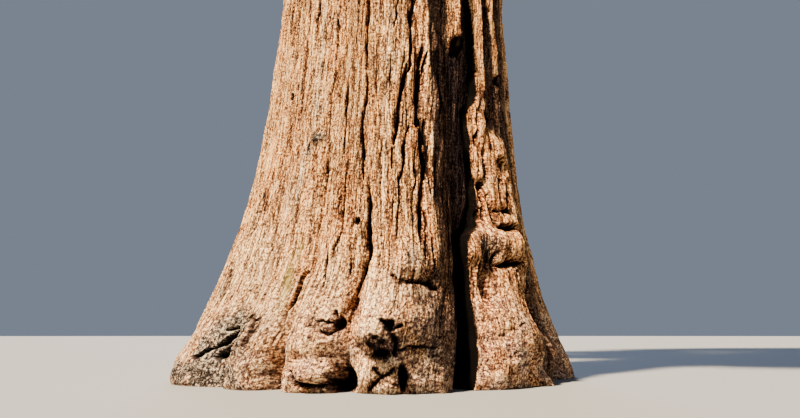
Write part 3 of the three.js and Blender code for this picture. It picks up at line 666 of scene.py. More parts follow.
def bark_relief(degrees, z, across):
    """The bark itself, outward in metres: ribs, strands along them and fibres along those, all with sharp
    valleys, long thin slits and a corky grain. At the foot broad lumps and pits take over. Returns the
    relief, how exposed each place is from 0 in a valley to 1 on a back, which also paints shade into the
    valleys, slits and pits, and a slow change of tone along the grain. How exposed is a sum too: a back adds
    its pattern's share, and a slit and a pit take theirs away as painted shade."""
    height = np.broadcast_to(z[:, None], degrees.shape)
    grain = np.broadcast_to(across, degrees.shape)
    rough = np.interp(degrees, ROUGH_AT, ROUGHNESS)
    high = smooth(height, *UPPER_BEGINS)
    rough = mix(rough, HIGH_ROUGHNESS, high)
    close = 1 - smooth(height, *FINE_ENDS)
    foot = 1 - smooth(height + FOOT_EDGE_SWAY * bark_noise(grain, height, *FOOT_EDGE), *FOOT_ENDS)
    sway = SWAY[0] * bark_noise(grain, height, *LONG_SWAY) + SWAY[1] * bark_noise(grain, height, *SHORT_SWAY)
    bent = grain + sway
    rib, strand, fibre = (strands(bent, height, *pattern) for pattern in (RIB, STRAND, FIBRE))
    cork, lump, knob = (bark_noise(grain, height, *pattern) for pattern in (GRAIN_OF_CORK, LUMP, KNOB))
    pit = np.clip(bark_noise(grain, height, *PIT) - PIT_FROM, 0, 1)
    line = np.abs(bark_noise(bent, height, *SLIT))
    slit = np.exp(-((line / SLIT_WIDTH) ** 2)) * smooth(bark_noise(bent, height, *SLIT_RUN), *SLIT_STARTS)
    body = 1 - FOOT_SHARE * foot
    relief = body * (rough * RIB_DEPTH * rib + (STRAND_DEPTH[0] + STRAND_DEPTH[1] * rough) * strand)
    fine = body * (FIBRE_DEPTH[0] + FIBRE_DEPTH[1] * rough) * fibre + CORK_DEPTH * cork
    relief = relief + close * fine - body * (SLIT_DEPTH[0] + SLIT_DEPTH[1] * rough) * slit
    relief = relief + foot * (LUMP_DEPTH * lump + KNOB_DEPTH * knob - PIT_DEPTH * pit)
    relief = relief + high * UPPER_DEPTH * strands(bent, height, *UPPER_RIB)
    weathering_and_shade = OPEN_AT_REST + OPEN_BACK * body * (rough * rib + strand) + OPEN_CORK * cork
    weathering_and_shade = weathering_and_shade + OPEN_FIBRE * fibre * (1 - FIBRE_FADE * foot)
    weathering_and_shade = weathering_and_shade - SLIT_SHADE * body * slit * (1 + rough) + foot * (OPEN_KNOB * knob - PIT_SHADE * pit)
    return relief, weathering_and_shade, 0.5 + 0.5 * bark_noise(bent, height, *PLATE)


# Patches of colour on the bark: (height, degrees), half-height and half-width in metres, and strength. Edges
# are made ragged by noise in these cells.
PATCH_CELLS = (0.1, 0.25, 61, 3)
PATCH_RAGGED = 0.9
# Pale bleached streaks and patches; those on the knob high on the middle and on the tops of the burl and the
# bulge are painted highlights.
PALE_AND_HIGHLIGHT_PATCHES = [
    ((4.5, -32.3), 0.7, 0.035, 1.0), ((3.6, -32.3), 0.5, 0.05, 1.0), ((2.5, -34.8), 0.45, 0.06, 0.9),
    ((1.35, -52), 0.35, 0.1, 0.5), ((1.9, -55), 0.3, 0.08, 0.5), ((4.13, -0.6), 0.14, 0.07, 1.0),
    ((4.6, -1.5), 0.3, 0.04, 0.6), ((2.6, -2), 0.9, 0.03, 0.5), ((0.98, -3), 0.3, 0.12, 0.7),
    ((1.02, 1), 0.14, 0.14, 0.7), ((0.75, -1.9), 0.07, 0.15, 0.9), ((1.02, -24), 0.2, 0.14, 0.6),
    ((1.3, -41), 0.35, 0.05, 0.6), ((0.2, -2), 0.12, 0.2, 0.8), ((0.06, -1), 0.08, 0.14, 0.6),
    ((1.08, 7), 0.05, 0.2, 0.7), ((1.4, -47), 0.6, 0.6, 0.5), ((1.0, -33), 0.4, 0.3, 0.5),
    ((2.4, -42), 0.3, 0.2, 0.4), ((1.15, 0), 0.25, 0.2, 0.5), ((1.2, -16), 0.4, 0.2, 0.4),
    ((0.35, -50), 0.1, 0.2, 0.5), ((0.5, -17), 0.12, 0.2, 0.5),
]
# Grey weathered patches; those on the lump over the crease, on the bulge's right half and in the brow's
# hollow are painted shade.
GREY_AND_SHADE_PATCHES = [
    ((0.62, -48), 0.24, 0.42, 2.5), ((3.1, -29.5), 0.08, 0.12, 1.0), ((2.95, -33), 0.13, 0.06, 0.9),
    ((0.16, -55), 0.18, 0.8, 1.6), ((0.45, -54), 0.18, 0.34, 2.0), ((1.45, 8), 0.2, 0.2, 0.5),
    ((0.8, 13.5), 0.42, 0.26, 0.5), ((1.2, -62), 0.3, 0.1, 0.5), ((0.72, -17), 0.07, 0.12, 0.5),
    ((1.68, 37.5), 0.22, 0.16, 0.8), ((0.25, 11), 0.2, 0.2, 0.5),
]
# Charring and painted shade: broadly on the left, on the bulge's shaded right half, under the burl and the
# lump over the crease, in the brow's hollow and beside the cleft.
CHAR_AND_SHADE_PATCHES = [
    ((2.9, -32), 0.9, 0.9, 0.16), ((0.5, -1.6), 0.07, 0.15, 0.9), ((0.14, -58), 0.16, 0.6, 0.45),
    ((0.8, 9.5), 0.4, 0.36, 0.85), ((0.6, 7), 0.3, 0.2, 0.3), ((1.45, 8.5), 0.2, 0.16, 0.45),
    ((1.6, 37.6), 0.2, 0.12, 0.6), ((1.3, 14.6), 0.3, 0.1, 0.8),
]
OCHRE = [
    ((2.9, -43), 0.8, 0.7, 0.8), ((0.15, -4), 0.18, 0.16, 0.9), ((0.12, 2), 0.14, 0.14, 0.7),
    ((1.06, -17.5), 0.07, 0.14, 0.9), ((0.9, -9.6), 0.25, 0.07, 0.9), ((0.95, 3.5), 0.14, 0.1, 0.7),
    ((0.62, 6), 0.12, 0.12, 0.5), ((1.2, -36.5), 0.6, 0.05, 0.9), ((2.4, -38), 0.8, 0.05, 0.8),
    ((1.0, -43), 0.12, 0.14, 0.7), ((0.9, -60), 0.3, 0.12, 0.8), ((0.55, -32), 0.14, 0.12, 0.8),
    ((1.9, -22), 0.5, 0.12, 0.7), ((0.4, -22), 0.16, 0.14, 0.5), ((1.0, 33), 0.3, 0.1, 0.6),
    ((0.7, 50), 0.3, 0.12, 0.6), ((1.05, 14), 0.14, 0.05, 0.9), ((1.32, 12.5), 0.1, 0.1, 0.6),
    ((0.4, 33), 0.2, 0.16, 0.6),
]
MOSS = [((1.25, -31), 0.3, 0.06, 0.8), ((1.6, -29), 0.25, 0.04, 0.4)]

# Rust covers the trunk from the middle round to the right side, and comes back high up the shaft.
RUST_RIGHT = 0.85
RUST_SWAY = 6
RUST_FROM = (8, 34)
RUST_TO = (110, 180)
RUST_HIGH = 0.3
RUST_CLIMBS = (7, 16)

# The foot's own tone ends between these heights. A bleached splinter counts as more open, and painted
# shade in a crack or hole as shut, which darkens it further.
FOOT_TONE_ENDS = (0.3, 1.7)
FOOT_TONE_SWAY = 0.2
SPLINTER_LIGHT = 0.3
PAINTED_SHADE_BLACKNESS = 0.6
LEADER_RELIEF = 0.15  # the share of the relief that is left at the trunk's tip


def patches(spots, degrees, z, radius, ragged):
    """Soft patches, each fading with the square of its distance, with edges made ragged by noise."""
    total = np.zeros(degrees.shape)
    for (z0, d0), tall, wide, strength in spots:
        x = (degrees - d0) * radius * math.radians(1) / wide
        far = x**2 + ((z[:, None] - z0) / tall) ** 2
        total = np.maximum(total, strength * np.exp(-far))
    return np.clip(total * (1 + PATCH_RAGGED * ragged), 0, 1)


def columns_of(indices, step):
    """The index and share of each column across these buttresses, evenly spaced, with the last edge
    included."""
    knees = knee_degrees()
    index, share = [], []
    for i in indices:
        count = round((knees[i + 1] - knees[i]) / step)
        index += [i] * count
        share += list(np.arange(count) / count)
    return np.array(index + [indices[-1]]), np.array(share + [1.0])


def bark_surface(index, share, z):
    """Points on the bark and what its colours need, a row a height and a column a column: the solid's
    radius, or the split planes in its place round the cleft, with the relief and what is carved added to it,
    turned about the leaning middle."""
    knees = np.array(knee_degrees(), float)
    across = mix(knees[index], knees[index + 1], share) / 360 * GRAIN_ROUND
    degrees, radius = trunk_form(index, share, z)
    height = np.broadcast_to(z[:, None], degrees.shape)
    grain = np.broadcast_to(across, degrees.shape)
    ragged = bark_noise(grain, height, *PATCH_CELLS)
    relief, weathering_and_shade, plate = bark_relief(degrees, z, across)
    shift = EDGE_SWAY * bark_noise(grain, height, *EDGE_SWAY_CELLS)
    planes, char_and_shade, split, facing, laid = split_planes(degrees, z, shift)
    relief = relief * facing
    # Steep burnt walls are darkened further, as painted shade in the cleft.
    weathering_and_shade = weathering_and_shade - (1 - facing) * char_and_shade
    tucked = shaft_radius(z)[:, None] + planes - TUCK * np.exp(-height / TUCK_HEIGHT)
    radius = mix(radius, tucked, split)
    carved, painted_shade, bleached = carve(degrees, z, radius, across)
    thin = smooth(z, TRUNK_TOP, LEADER_FOOT)[:, None]
    full = radius + (relief + carved) * mix(LEADER_RELIEF, 1, thin)
    angle = np.radians(degrees)
    points = np.stack([full * np.sin(angle) + lean(z)[:, None], -full * np.cos(angle), height], axis=-1)
    pale, grey, moss, ochre, charred_or_shaded = (
        patches(spots, degrees, z, radius, ragged) for spots in (PALE_AND_HIGHLIGHT_PATCHES, GREY_AND_SHADE_PATCHES, MOSS, OCHRE, CHAR_AND_SHADE_PATCHES))
    right = smooth(degrees + RUST_SWAY * ragged, *RUST_FROM) * (1 - smooth(degrees, *RUST_TO))
    rust = ochre + RUST_RIGHT * right + RUST_HIGH * smooth(height, *RUST_CLIMBS)
    weathering_and_shade = np.clip(weathering_and_shade + SPLINTER_LIGHT * bleached, -1, 1)
    fields = {
        # Painted shade in cracks, holes and hollows darkens the tone, to black where it is deepest.
        "weathering_and_shade": weathering_and_shade * (1 - painted_shade) - PAINTED_SHADE_BLACKNESS * painted_shade**4,
        "plate": plate,
        "pale": np.maximum(pale, bleached) * (1 - painted_shade),
        "grey": grey,
        "moss": moss,
        "rust": np.clip(rust, 0, 1),
        "char_and_shade": np.maximum(char_and_shade, charred_or_shaded),
        "foot": (1 - smooth(height + FOOT_TONE_SWAY * ragged, *FOOT_TONE_ENDS)) * (1 - ochre),
    }
    return points, fields, np.stack([grain + laid, height], axis=-1)


def grid_faces(rows, columns, closed=False):
    """The quads of a grid whose points run row by row, wound to face outward from a trunk or a tube."""
    around = columns if closed else columns - 1
    a = (np.arange(rows - 1)[:, None] * columns + np.arange(around)).ravel()
    b = (np.arange(rows - 1)[:, None] * columns + (np.arange(around) + 1) % columns).ravel()
    return np.stack([a, b, b + columns, a + columns], axis=1)


def put(name, data):
    """A new object in the scene, at the origin."""
    thing = bpy.data.objects.new(name, data)
    bpy.context.scene.collection.objects.link(thing)
    return thing


def make_piece(name, points, faces, material, nodes, fields=None, grain=None, even=True):
    """Puts arrays into a mesh and says what it stands for. faces is a list of arrays with one number of
    corners each, fields are values for each point, grain is the bark's layout and even asks for smooth
    shading."""
    mesh = bpy.data.meshes.new(name)
    corners = np.concatenate([f.ravel() for f in faces]).astype(np.int32)
    sizes = np.concatenate([np.full(len(f), f.shape[1]) for f in faces])
    mesh.vertices.add(len(points))
    mesh.vertices.foreach_set("co", np.asarray(points, np.float32).ravel())
    mesh.loops.add(len(corners))
    mesh.loops.foreach_set("vertex_index", corners)
    mesh.polygons.add(len(sizes))
    mesh.polygons.foreach_set("loop_start", (np.cumsum(sizes) - sizes).astype(np.int32))
    mesh.polygons.foreach_set("use_smooth", np.full(len(sizes), even))
    for key, values in (fields or {}).items():
        layer = mesh.attributes.new(key, "FLOAT", "POINT")
        layer.data.foreach_set("value", np.asarray(values, np.float32).ravel())
    if grain is not None:
        layer = mesh.uv_layers.new(name="grain")
        layer.data.foreach_set("uv", np.asarray(grain, np.float32).reshape(-1, 2)[corners].ravel())
    mesh.materials.append(material)
    mesh.update()
    mesh.validate()
    piece = put(name, mesh)
    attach(piece, "root")
    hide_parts(*nodes)


def srgb(code):
    """A hex colour as linear red, green, blue and alpha: small values are divided by 12.92, the rest raised
    to 2.4."""
    channels = [int(code[i : i + 2], 16) / 255 for i in (0, 2, 4)]
    return [c / 12.92 if c <= 0.04045 else ((c + 0.055) / 1.055) ** 2.4 for c in channels] + [1.0]


def add(material, kind, settings=None, links=None, ramp=None):
    """Adds a node. A setting goes to the node's property of that name or else to its input of that name or
    number, a link brings an output to an input, and a ramp is a list of places and colours."""
    tree = material.node_tree
    node = tree.nodes.new(kind)
    for key, value in (settings or {}).items():
        if isinstance(key, str) and hasattr(node, key):
            setattr(node, key, value)
        else:
            node.inputs[key].default_value = value
    for key, output in (links or {}).items():
        tree.links.new(output, node.inputs[key])
    if ramp:
        elements = node.color_ramp.elements
        while len(elements) < len(ramp):
            elements.new(1.0)
        for element, (place, colour) in zip(elements, ramp):
            element.position = place
            element.color = colour
    return node


def new_material(name):
    """A material with no nodes yet."""
    material = bpy.data.materials.new(name)
    material.use_nodes = True
    material.node_tree.nodes.clear()
    return material


def end_in_shader(material, settings, links=None):
    """Gives a material its surface, with these settings and links."""
    shader = add(material, "ShaderNodeBsdfPrincipled", settings, links)
    add(material, "ShaderNodeOutputMaterial", links={"Surface": shader.outputs[0]})


# The bark's colours, from the bottom of a furrow, where shade is painted near-black, to the most open places.
TAN_BARK = [
    (0.0, "0e0805"), (0.2, "2a1b14"), (0.38, "4b3326"), (0.5, "634636"), (0.62, "7a573e"), (0.74, "a27248"),
    (0.83, "e09e58"), (0.9, "ffc674"), (1.0, "ffe0a6"),
]
ORANGE_BARK = [
    (0.0, "0c0503"), (0.2, "28140b"), (0.38, "512d19"), (0.5, "6f4832"), (0.62, "8e5e3e"), (0.74, "b67a48"),
    (0.83, "e49c54"), (0.9, "fcb96e"), (1.0, "ffd698"),
]
FOOT_BARK = [
    (0.0, "110b09"), (0.2, "302526"), (0.38, "56413d"), (0.5, "745d56"), (0.62, "846d63"), (0.74, "a88a76"),
    (0.84, "dcb492"), (0.92, "ffdab4"), (1.0, "ffeed0"),
]
# Grey weathered bark, also used as painted shade on the bulge and the brow.
WEATHERED_OR_SHADED_BARK = [
    (0.0, "080707"), (0.3, "1a1819"), (0.55, "342e2c"), (0.72, "5e554e"), (0.84, "98897a"), (1.0, "dccab2"),
]
# Bleached bark, also used for painted highlights.
BLEACHED_OR_HIGHLIT_BARK = [
    (0.0, "20140e"), (0.3, "604a3c"), (0.6, "a0866a"), (0.76, "f4cc98"), (0.9, "ffe8bc"), (1.0, "fff4d8"),
]
# Burnt bark, also used as painted shade on the planes round the cleft and on the bulge.
CHARRED_OR_SHADED_BARK = [
    (0.0, "040202"), (0.35, "0e0908"), (0.6, "221816"), (0.8, "443430"), (1.0, "705850"),
]

MOSS_GREEN = "9a9048"  # dry moss in the furrows on the left

# Clouds of colour: a cell's width and length in metres, where the noise starts one and fills it, and its
# most.
RUST_CLOUDS = (0.22, 1.3, 0.45, 0.6, 0.9)
FOOT_CLOUDS = (0.2, 0.3, 0.66, 0.3, 1.0)
PALE_CLOUDS = (0.16, 0.5, 0.52, 0.76, 0.42)
CLOUD_DETAIL = 4.0
CLOUD_ROUGHNESS = 0.6

# The patterns of the bark's colour: a cell's width across the grain and length along it in metres, detail,
# roughness and weight. Fibres and strands fade at the foot, and the mottle is only there.
FIBRES = ((0.018, 0.2), 3.0, 0.8, 2.4)
STRANDS = ((0.06, 0.9), 4.0, 0.65, 1.4)
CORK = ((0.02, 0.032), 3.0, 0.85, 3.1)
MOTTLE = ((0.09, 0.07), 4.0, 0.7, 1.5)
MOSS_COVER = 0.45
PLATE_TONES = (0.82, 1.12)
CORK_IN_BUMP = 0.8
BUMP_DEPTH = 0.03


def sequoia_bark():
    """Old sequoia bark: soft, dry and fibrous, so it is matt with hardly a highlight. Its colour goes with
    how open each place is to the weather and with shade painted into it, from near-black in the furrows
    through cinnamon to bleached tan on the backs, with burnt bark, painted shade and painted highlights laid
    over."""
    bark = new_material("fibrous_sequoia_bark")
    field = {k: add(bark, "ShaderNodeAttribute", {"attribute_name": k}).outputs["Fac"]
             for k in ("weathering_and_shade", "plate", "pale", "grey", "moss", "rust", "char_and_shade", "foot")}
    grain = add(bark, "ShaderNodeUVMap", {"uv_map": "grain"}).outputs["UV"]

    def reckon(operation, *inputs):
        """A sum done at each place: plain numbers are settings of its inputs, and the rest are links."""
        numbers = {k: v for k, v in enumerate(inputs) if isinstance(v, float)}
        links = {k: v for k, v in enumerate(inputs) if k not in numbers}
        return add(bark, "ShaderNodeMath", {"operation": operation, **numbers}, links).outputs[0]

    def cloud(wide, long, detail, roughness):
        """Noise in cells of this width across the grain and this length along it, in metres."""
        across = {"Scale": (1 / wide, 1 / long, 1)}
        cells = add(bark, "ShaderNodeMapping", across, {"Vector": grain}).outputs[0]
        settings = {"Scale": 1.0, "Detail": detail, "Roughness": roughness}
        return add(bark, "ShaderNodeTexNoise", settings, {"Vector": cells}).outputs["Fac"]

    tone = field["weathering_and_shade"]
    drawn = []
    away = reckon("MULTIPLY_ADD", field["foot"], -FOOT_SHARE, 1.0)
    for ((wide, long), detail, roughness, weight), share in (
            (FIBRES, away), (STRANDS, away), (CORK, None), (MOTTLE, field["foot"])):
        drawn.append(cloud(wide, long, detail, roughness))
        centred = reckon("SUBTRACT", drawn[-1], 0.5)
        if share:
            centred = reckon("MULTIPLY", centred, share)
        tone = reckon("MULTIPLY_ADD", centred, weight, tone)

    def ramp(colours):
        """The colour that this ramp has for the tone."""
        stops = [(place, srgb(code)) for place, code in colours]
        return add(bark, "ShaderNodeValToRGB", links={"Fac": tone}, ramp=stops).outputs[0]

    def over(share, below, above):
        """One colour laid over another by this share."""
        return add(bark, "ShaderNodeMix", {"data_type": "RGBA"}, {0: share, 6: below, 7: above}).outputs[2]

    def blotches(wide, long, low, high, most):
        """Clouds of this size in metres, from nothing where the noise is low to the most where it is
        high."""
        limits = {"From Min": low, "From Max": high, "To Max": most}
        value = cloud(wide, long, CLOUD_DETAIL, CLOUD_ROUGHNESS)
        return add(bark, "ShaderNodeMapRange", limits, {"Value": value}).outputs[0]

    rusty = reckon("MAXIMUM", field["rust"], blotches(*RUST_CLOUDS))
    colour = over(rusty, ramp(TAN_BARK), ramp(ORANGE_BARK))
    stony = reckon("MULTIPLY", field["foot"], blotches(*FOOT_CLOUDS))
    colour = over(stony, colour, ramp(FOOT_BARK))
    colour = over(blotches(*PALE_CLOUDS), colour, ramp(BLEACHED_OR_HIGHLIT_BARK))
    # Pale patches, some of them painted highlights, and bleached splinters.
    colour = over(field["pale"], colour, ramp(BLEACHED_OR_HIGHLIT_BARK))
    # Grey weathered patches, some of them painted shade.
    colour = over(field["grey"], colour, ramp(WEATHERED_OR_SHADED_BARK))
    moss = reckon("MULTIPLY", field["moss"], MOSS_COVER)
    green = {"data_type": "RGBA", 7: srgb(MOSS_GREEN)}
    colour = add(bark, "ShaderNodeMix", green, {0: moss, 6: colour}).outputs[2]
    # Charring and painted shade go over everything else.
    colour = over(field["char_and_shade"], colour, ramp(CHARRED_OR_SHADED_BARK))
    tones = {"To Min": PLATE_TONES[0], "To Max": PLATE_TONES[1]}
    bright = add(bark, "ShaderNodeMapRange", tones, {"Value": field["plate"]}).outputs[0]
    colour = add(bark, "ShaderNodeHueSaturation", links={"Color": colour, "Value": bright}).outputs[0]

    height = reckon("MULTIPLY_ADD", drawn[2], CORK_IN_BUMP, drawn[0])
    depth = {"Strength": 1.0, "Distance": BUMP_DEPTH}
    bump = add(bark, "ShaderNodeBump", depth, {"Height": height}).outputs[0]
    dry = {"Roughness": 0.92, "Specular IOR Level": 0.05, "IOR": 1.45}
    end_in_shader(bark, dry, {"Base Color": colour, "Normal": bump})
    return bark


def build_trunk(bark):
    """The lower trunk in sections, the shaft above it on every third column, and the cut underneath."""
    t = np.linspace(0, 1, LOWER_ROWS + 1)
    z = LOWER_TOP * ((1 - FOOT_CROWDING) * t + FOOT_CROWDING * t**2)
    top_ring, foot_ring, top_index, top_share, top_fields, top_grain = [], [], [], [], [], []
    for name, (indices, step) in SECTIONS.items():
        index, share = columns_of(indices, step)
        points, fields, grain = bark_surface(index, share, z)
        faces = grid_faces(*points.shape[:2])
        make_piece(name, points.reshape(-1, 3), [faces], bark, ["trunk"], fields, grain)
        top_ring.append(points[-1, :-1])
        foot_ring.append(points[0, :-1])
        top_index.append(index[:-1])
        top_share.append(share[:-1])
        top_fields.append({k: v[-1, :-1] for k, v in fields.items()})
        top_grain.append(grain[-1, :-1])

    ring = np.concatenate(top_ring)
    index, share = np.concatenate(top_index), np.concatenate(top_share)
    count = len(ring)
    kept = np.append(np.arange(0, count - UPPER_THINNING + 1, UPPER_THINNING), count)
    shaft_index = np.append(index, index[-1])[kept]
    shaft_share = np.append(share, 1.0)[kept]
    rows = round((TRUNK_TOP - LOWER_TOP) / UPPER_STEP)
    z = np.linspace(LOWER_TOP, TRUNK_TOP, rows + 1)
    points, fields, grain = bark_surface(shaft_index, shaft_share, z)
    first = points.shape[1] * rows
    shaft_faces = grid_faces(rows, points.shape[1])

    # Triangles join the shaft's coarse columns to the sections' fine ones: one from each fine side up to the
    # coarse column that owns it, and one from each coarse side down to the fine place where the next column
    # starts.
    closing = np.append(np.arange(count), 0)
    fine = first + np.arange(count + 1)
    coarse = np.arange(len(kept))
    owner = np.searchsorted(kept, np.arange(count), side="right") - 1
    teeth = np.stack([fine[:-1], fine[1:], coarse[owner]], axis=1)
    steps = np.stack([fine[kept[1:]], coarse[1:], coarse[:-1]], axis=1)

    tip = points[-1].mean(axis=0) + [0, 0, TIP_RISE]
    all_points = np.concatenate([points[1:].reshape(-1, 3), ring[closing], tip[None]])
    last_row = (rows - 1) * points.shape[1] + coarse
    cap = np.stack([last_row[:-1], last_row[1:], np.full(len(kept) - 1, len(all_points) - 1)], axis=1)
    ring_fields = {k: np.concatenate([f[k] for f in top_fields])[closing] for k in fields}
    all_fields = {k: np.concatenate([v[1:].ravel(), ring_fields[k], [TIP_TONE]]) for k, v in fields.items()}
    ring_grain = np.concatenate([np.concatenate(top_grain), [[grain[0, -1, 0], LOWER_TOP]]])
    all_grain = np.concatenate([grain[1:].reshape(-1, 2), ring_grain, grain[-1, :1]])
    make_piece("trunk_shaft", all_points, [shaft_faces, np.concatenate([teeth, steps, cap])], bark, ["trunk"],
               all_fields, all_grain)

    foot = np.concatenate(foot_ring)
    around = np.arange(len(foot))
    fan = np.stack([(around + 1) % len(foot), around, np.full(len(foot), len(foot))], axis=1)
    dull = {k: np.full(len(foot) + 1, CUT_TONE) for k in fields}
    make_piece("trunk_cut", np.concatenate([foot, [[0, 0, 0]]]), [fan], bark, ["trunk"], dull,
               np.concatenate([foot[:, :2], [[0, 0]]]))


# The crown, planned as its solids are: each bough carries one mass of foliage, and a ring and a top crown
# the trunk.
BOUGH_COUNT = 24
BOUGH_HEIGHTS = (15.9, 32.6)
BOUGH_RISES = (1.9, 1.5)
BOUGH_GIRTH = 0.2
BOUGH_LEAST = 0.06
BOUGH_TIP_SHARE = 0.42
TIP_DEPTH = 0.8
COLLAR = 0.35
CROWN_RADIUS = 8.0
CROWN_WIDEST = 25.0
CROWN_BELOW = 22.0
CROWN_ABOVE = 15.0
MASS_RADII = (3.3, 2.8)
MASS_HEIGHT_SHARE = 0.72
RING_COUNT = 5
RING_HEIGHT = 35.5
RING_DISTANCE = 2.25
RING_RADIUS = 2.25
TOP_RADIUS = 2.2
SHOOT_COUNT = 10
SPRAY_REACH = 0.99
STEM_SHARE = 0.8
FOOT_DEPTH = 0.45  # a bough's foot lies at this share of the shaft's radius
HEIGHT_STRAY = 0.35
ANGLE_STRAY = 0.3
MASS_SIZES = (0.92, 0.16)  # these two are the least share of the whole, and how much more it may be
RISE_SIZES = (0.75, 0.5)
SET_OUT_PITCHES = (-0.1, 0.3)
COME_IN_PITCHES = (0.45, 0.8)
HANDLE = 0.42  # the reach of a bough's bend at each end, as a share of its length
STEM_DROP = 0.7  # a mass on the trunk has its stem's foot this far below it
RING_TURN = 0.35
RING_STRAY = 0.7
RING_STEM_DEPTH = 0.3
RING_STEM = 0.09
TOP_STEM = 0.08

# Finer growth than the solids can hold.
BOUGH_SIDES = 26
BOUGH_SPANS = 42
BOUGH_POINT = 0.05  # of the radius is left at a bough's ends
TWIG_POINT = 0.15  # and at a twig's far end
COLLAR_LENGTH = 0.12  # of the bough's
# A bough's relief: waves round it, a wave's length along it in metres, a seed, and its depth as a share of
# the girth.
BOUGH_BROAD = (7, 0.9, 700, 0.09)
BOUGH_STREAK = (13, 0.5, 740, 0.05)
BOUGH_KNOT = (3, 1.4, 780, 0.08)
BOUGH_TONE = (0.52, 0.22, 0.14)  # how open it is at rest, and what a broad plate and a streak add

TUFTS_TO_A_LOBE = 7
LOBE_SIZES = (0.22, 0.46)  # a lobe's half-width, as a share of its mass's
TUFT_ROOM = 0.7  # a tuft this deep in another mass is left out
TUFT_CLEAR = 0.25  # metres from the trunk within which a tuft is left out
TUFT_SPREAD = (0.55, 0.9)  # of its lobe's half-width
TUFT_STRAY = 0.15
TUFT_LIFT = 0.15  # towards the light
TUFT_RING = ((1, 1, 0.72), (0, 0, 0.28))  # the spiral about a shoot, flattened and moved outward
LOBE_INSET = 0.85  # of its half-width
SPRAY_ROOM = 0.9  # of the longest spray is left free inside the mass
LOBE_PLACES = (0.74, 0.98)  # of the way out along its shoot
SPRAYS_TO_A_TUFT = 42
SPRAY_LENGTHS = (0.42, 0.72)
SPRAY_CAP = 1.35  # how far down a ball its tuft's sprays go, in radii
SPRAY_ROOTS = (0.02, 0.34)  # metres from the tuft's middle
ROOT_STRAY = 0.05
SPRAY_LIFT = 0.22  # towards the light
SPRAY_STRAY = 0.22
SPRAY_LEVEL = 1.2  # how much a spray's flat side keeps level
FINGER_TURNS = np.array([-0.95, -0.48, 0.0, 0.48, 0.95])
FINGER_LENGTHS = np.array([0.6, 0.85, 1.0, 0.85, 0.6])
FINGER_WIDTH = 0.17
FINGER_ROOT = 0.12  # how far up the spray the middle one starts, in lengths of the spray
FINGER_WIDEST = 0.42  # this and the next two are shares of a finger's length
FINGER_FOLD = 0.07
FINGER_DROOP = 0.12
# Twigs in four orders: the radius at the start (of a stem and a shoot as a share of the stem's), the share
# of it left at the end, and the sides and spans.
STEM = (1.0, 0.6, 8, 6)
SHOOT = (0.55, 0.35, 6, 6)
TWIG = (0.028, 0.4, 4, 4)
FINE_TWIG = (0.014, 0.5, 3, 2)
SHOOT_STARTS = (0.35, 1)  # along its stem
SHOOT_END = 0.6  # of the way to the mass's surface
TWIG_STARTS = (0.35, 0.95)  # along its shoot
FINE_TWIGS_TO_A_TUFT = 3
# How the twigs bend and stray, in metres, except for the place of a twig's bend as a share of its length.
STEM_RISE = 0.1
SHOOT_BOW = 0.2
SHOOT_STRAY = 0.12
TWIG_BEND = 0.55
TWIG_STRAY = 0.1
TWIG_SAG = 0.08
TWIG_REACH = 0.25
FINE_TWIG_ROOT = 0.1
FINE_TWIG_BEND = 0.2
FINE_TWIG_REACH = 0.5
FINE_TWIG_RISE = 0.06
FINE_TWIG_STRAY = 0.65
TWIG_TONE = 0.45
TUFT_DRAWN_IN = 0.6  # how far the tip's own mass narrows upward, from this share of its half-height
NARROWS_FROM = -0.4
SPRAYS_TO_A_PIECE = 19900
TUFT_SEED = 300
TWIG_SEED = 41
SPRAY_SEED = 97


@dataclass
class Mass:
    """A mass of foliage: an ellipsoid, and the place and radius of the stem that carries it."""

    seed: int
    centre: np.ndarray
    radii: np.ndarray
    stem: np.ndarray
    stem_radius: float


def chance(i, j):
    """A repeatable number from 0 to 1 for a pair of whole numbers, as the solids draw it."""
    big = math.sin(i * 12.9898 + j * 78.233) * 43758.5453
    return big - math.floor(big)


def outward(angle):
    """The level direction at this angle from the front."""
    return np.array([math.sin(angle), -math.cos(angle), 0.0])


def axis_at(z):
    """The trunk's middle at this height."""
    return np.array([float(lean(z)), 0.0, z])


def crown_radius(z):
    """The crown's outline: a half ellipse that is longer below its widest place than above it."""
    depth = CROWN_BELOW if z < CROWN_WIDEST else CROWN_ABOVE
    return CROWN_RADIUS * math.sqrt(max(0, 1 - ((z - CROWN_WIDEST) / depth) ** 2))


def unit(vectors):
    """Vectors divided by their lengths."""
    return vectors / np.linalg.norm(vectors, axis=-1, keepdims=True)


def arc(a, b, c, t):
    """A place on a curve of three points, which weighs them by the square terms of t and its rest."""
    return (1 - t) ** 2 * a + 2 * t * (1 - t) * b + t**2 * c


def bezier(points, u):
    """A place on a cubic curve, for each share u of its parameter: four points weighted by the binomial
    terms."""
    a, b, c, d = points
    u = np.asarray(u)[..., None]
    return (1 - u) ** 3 * a + 3 * u * (1 - u) ** 2 * b + 3 * u * u * (1 - u) * c + u**3 * d


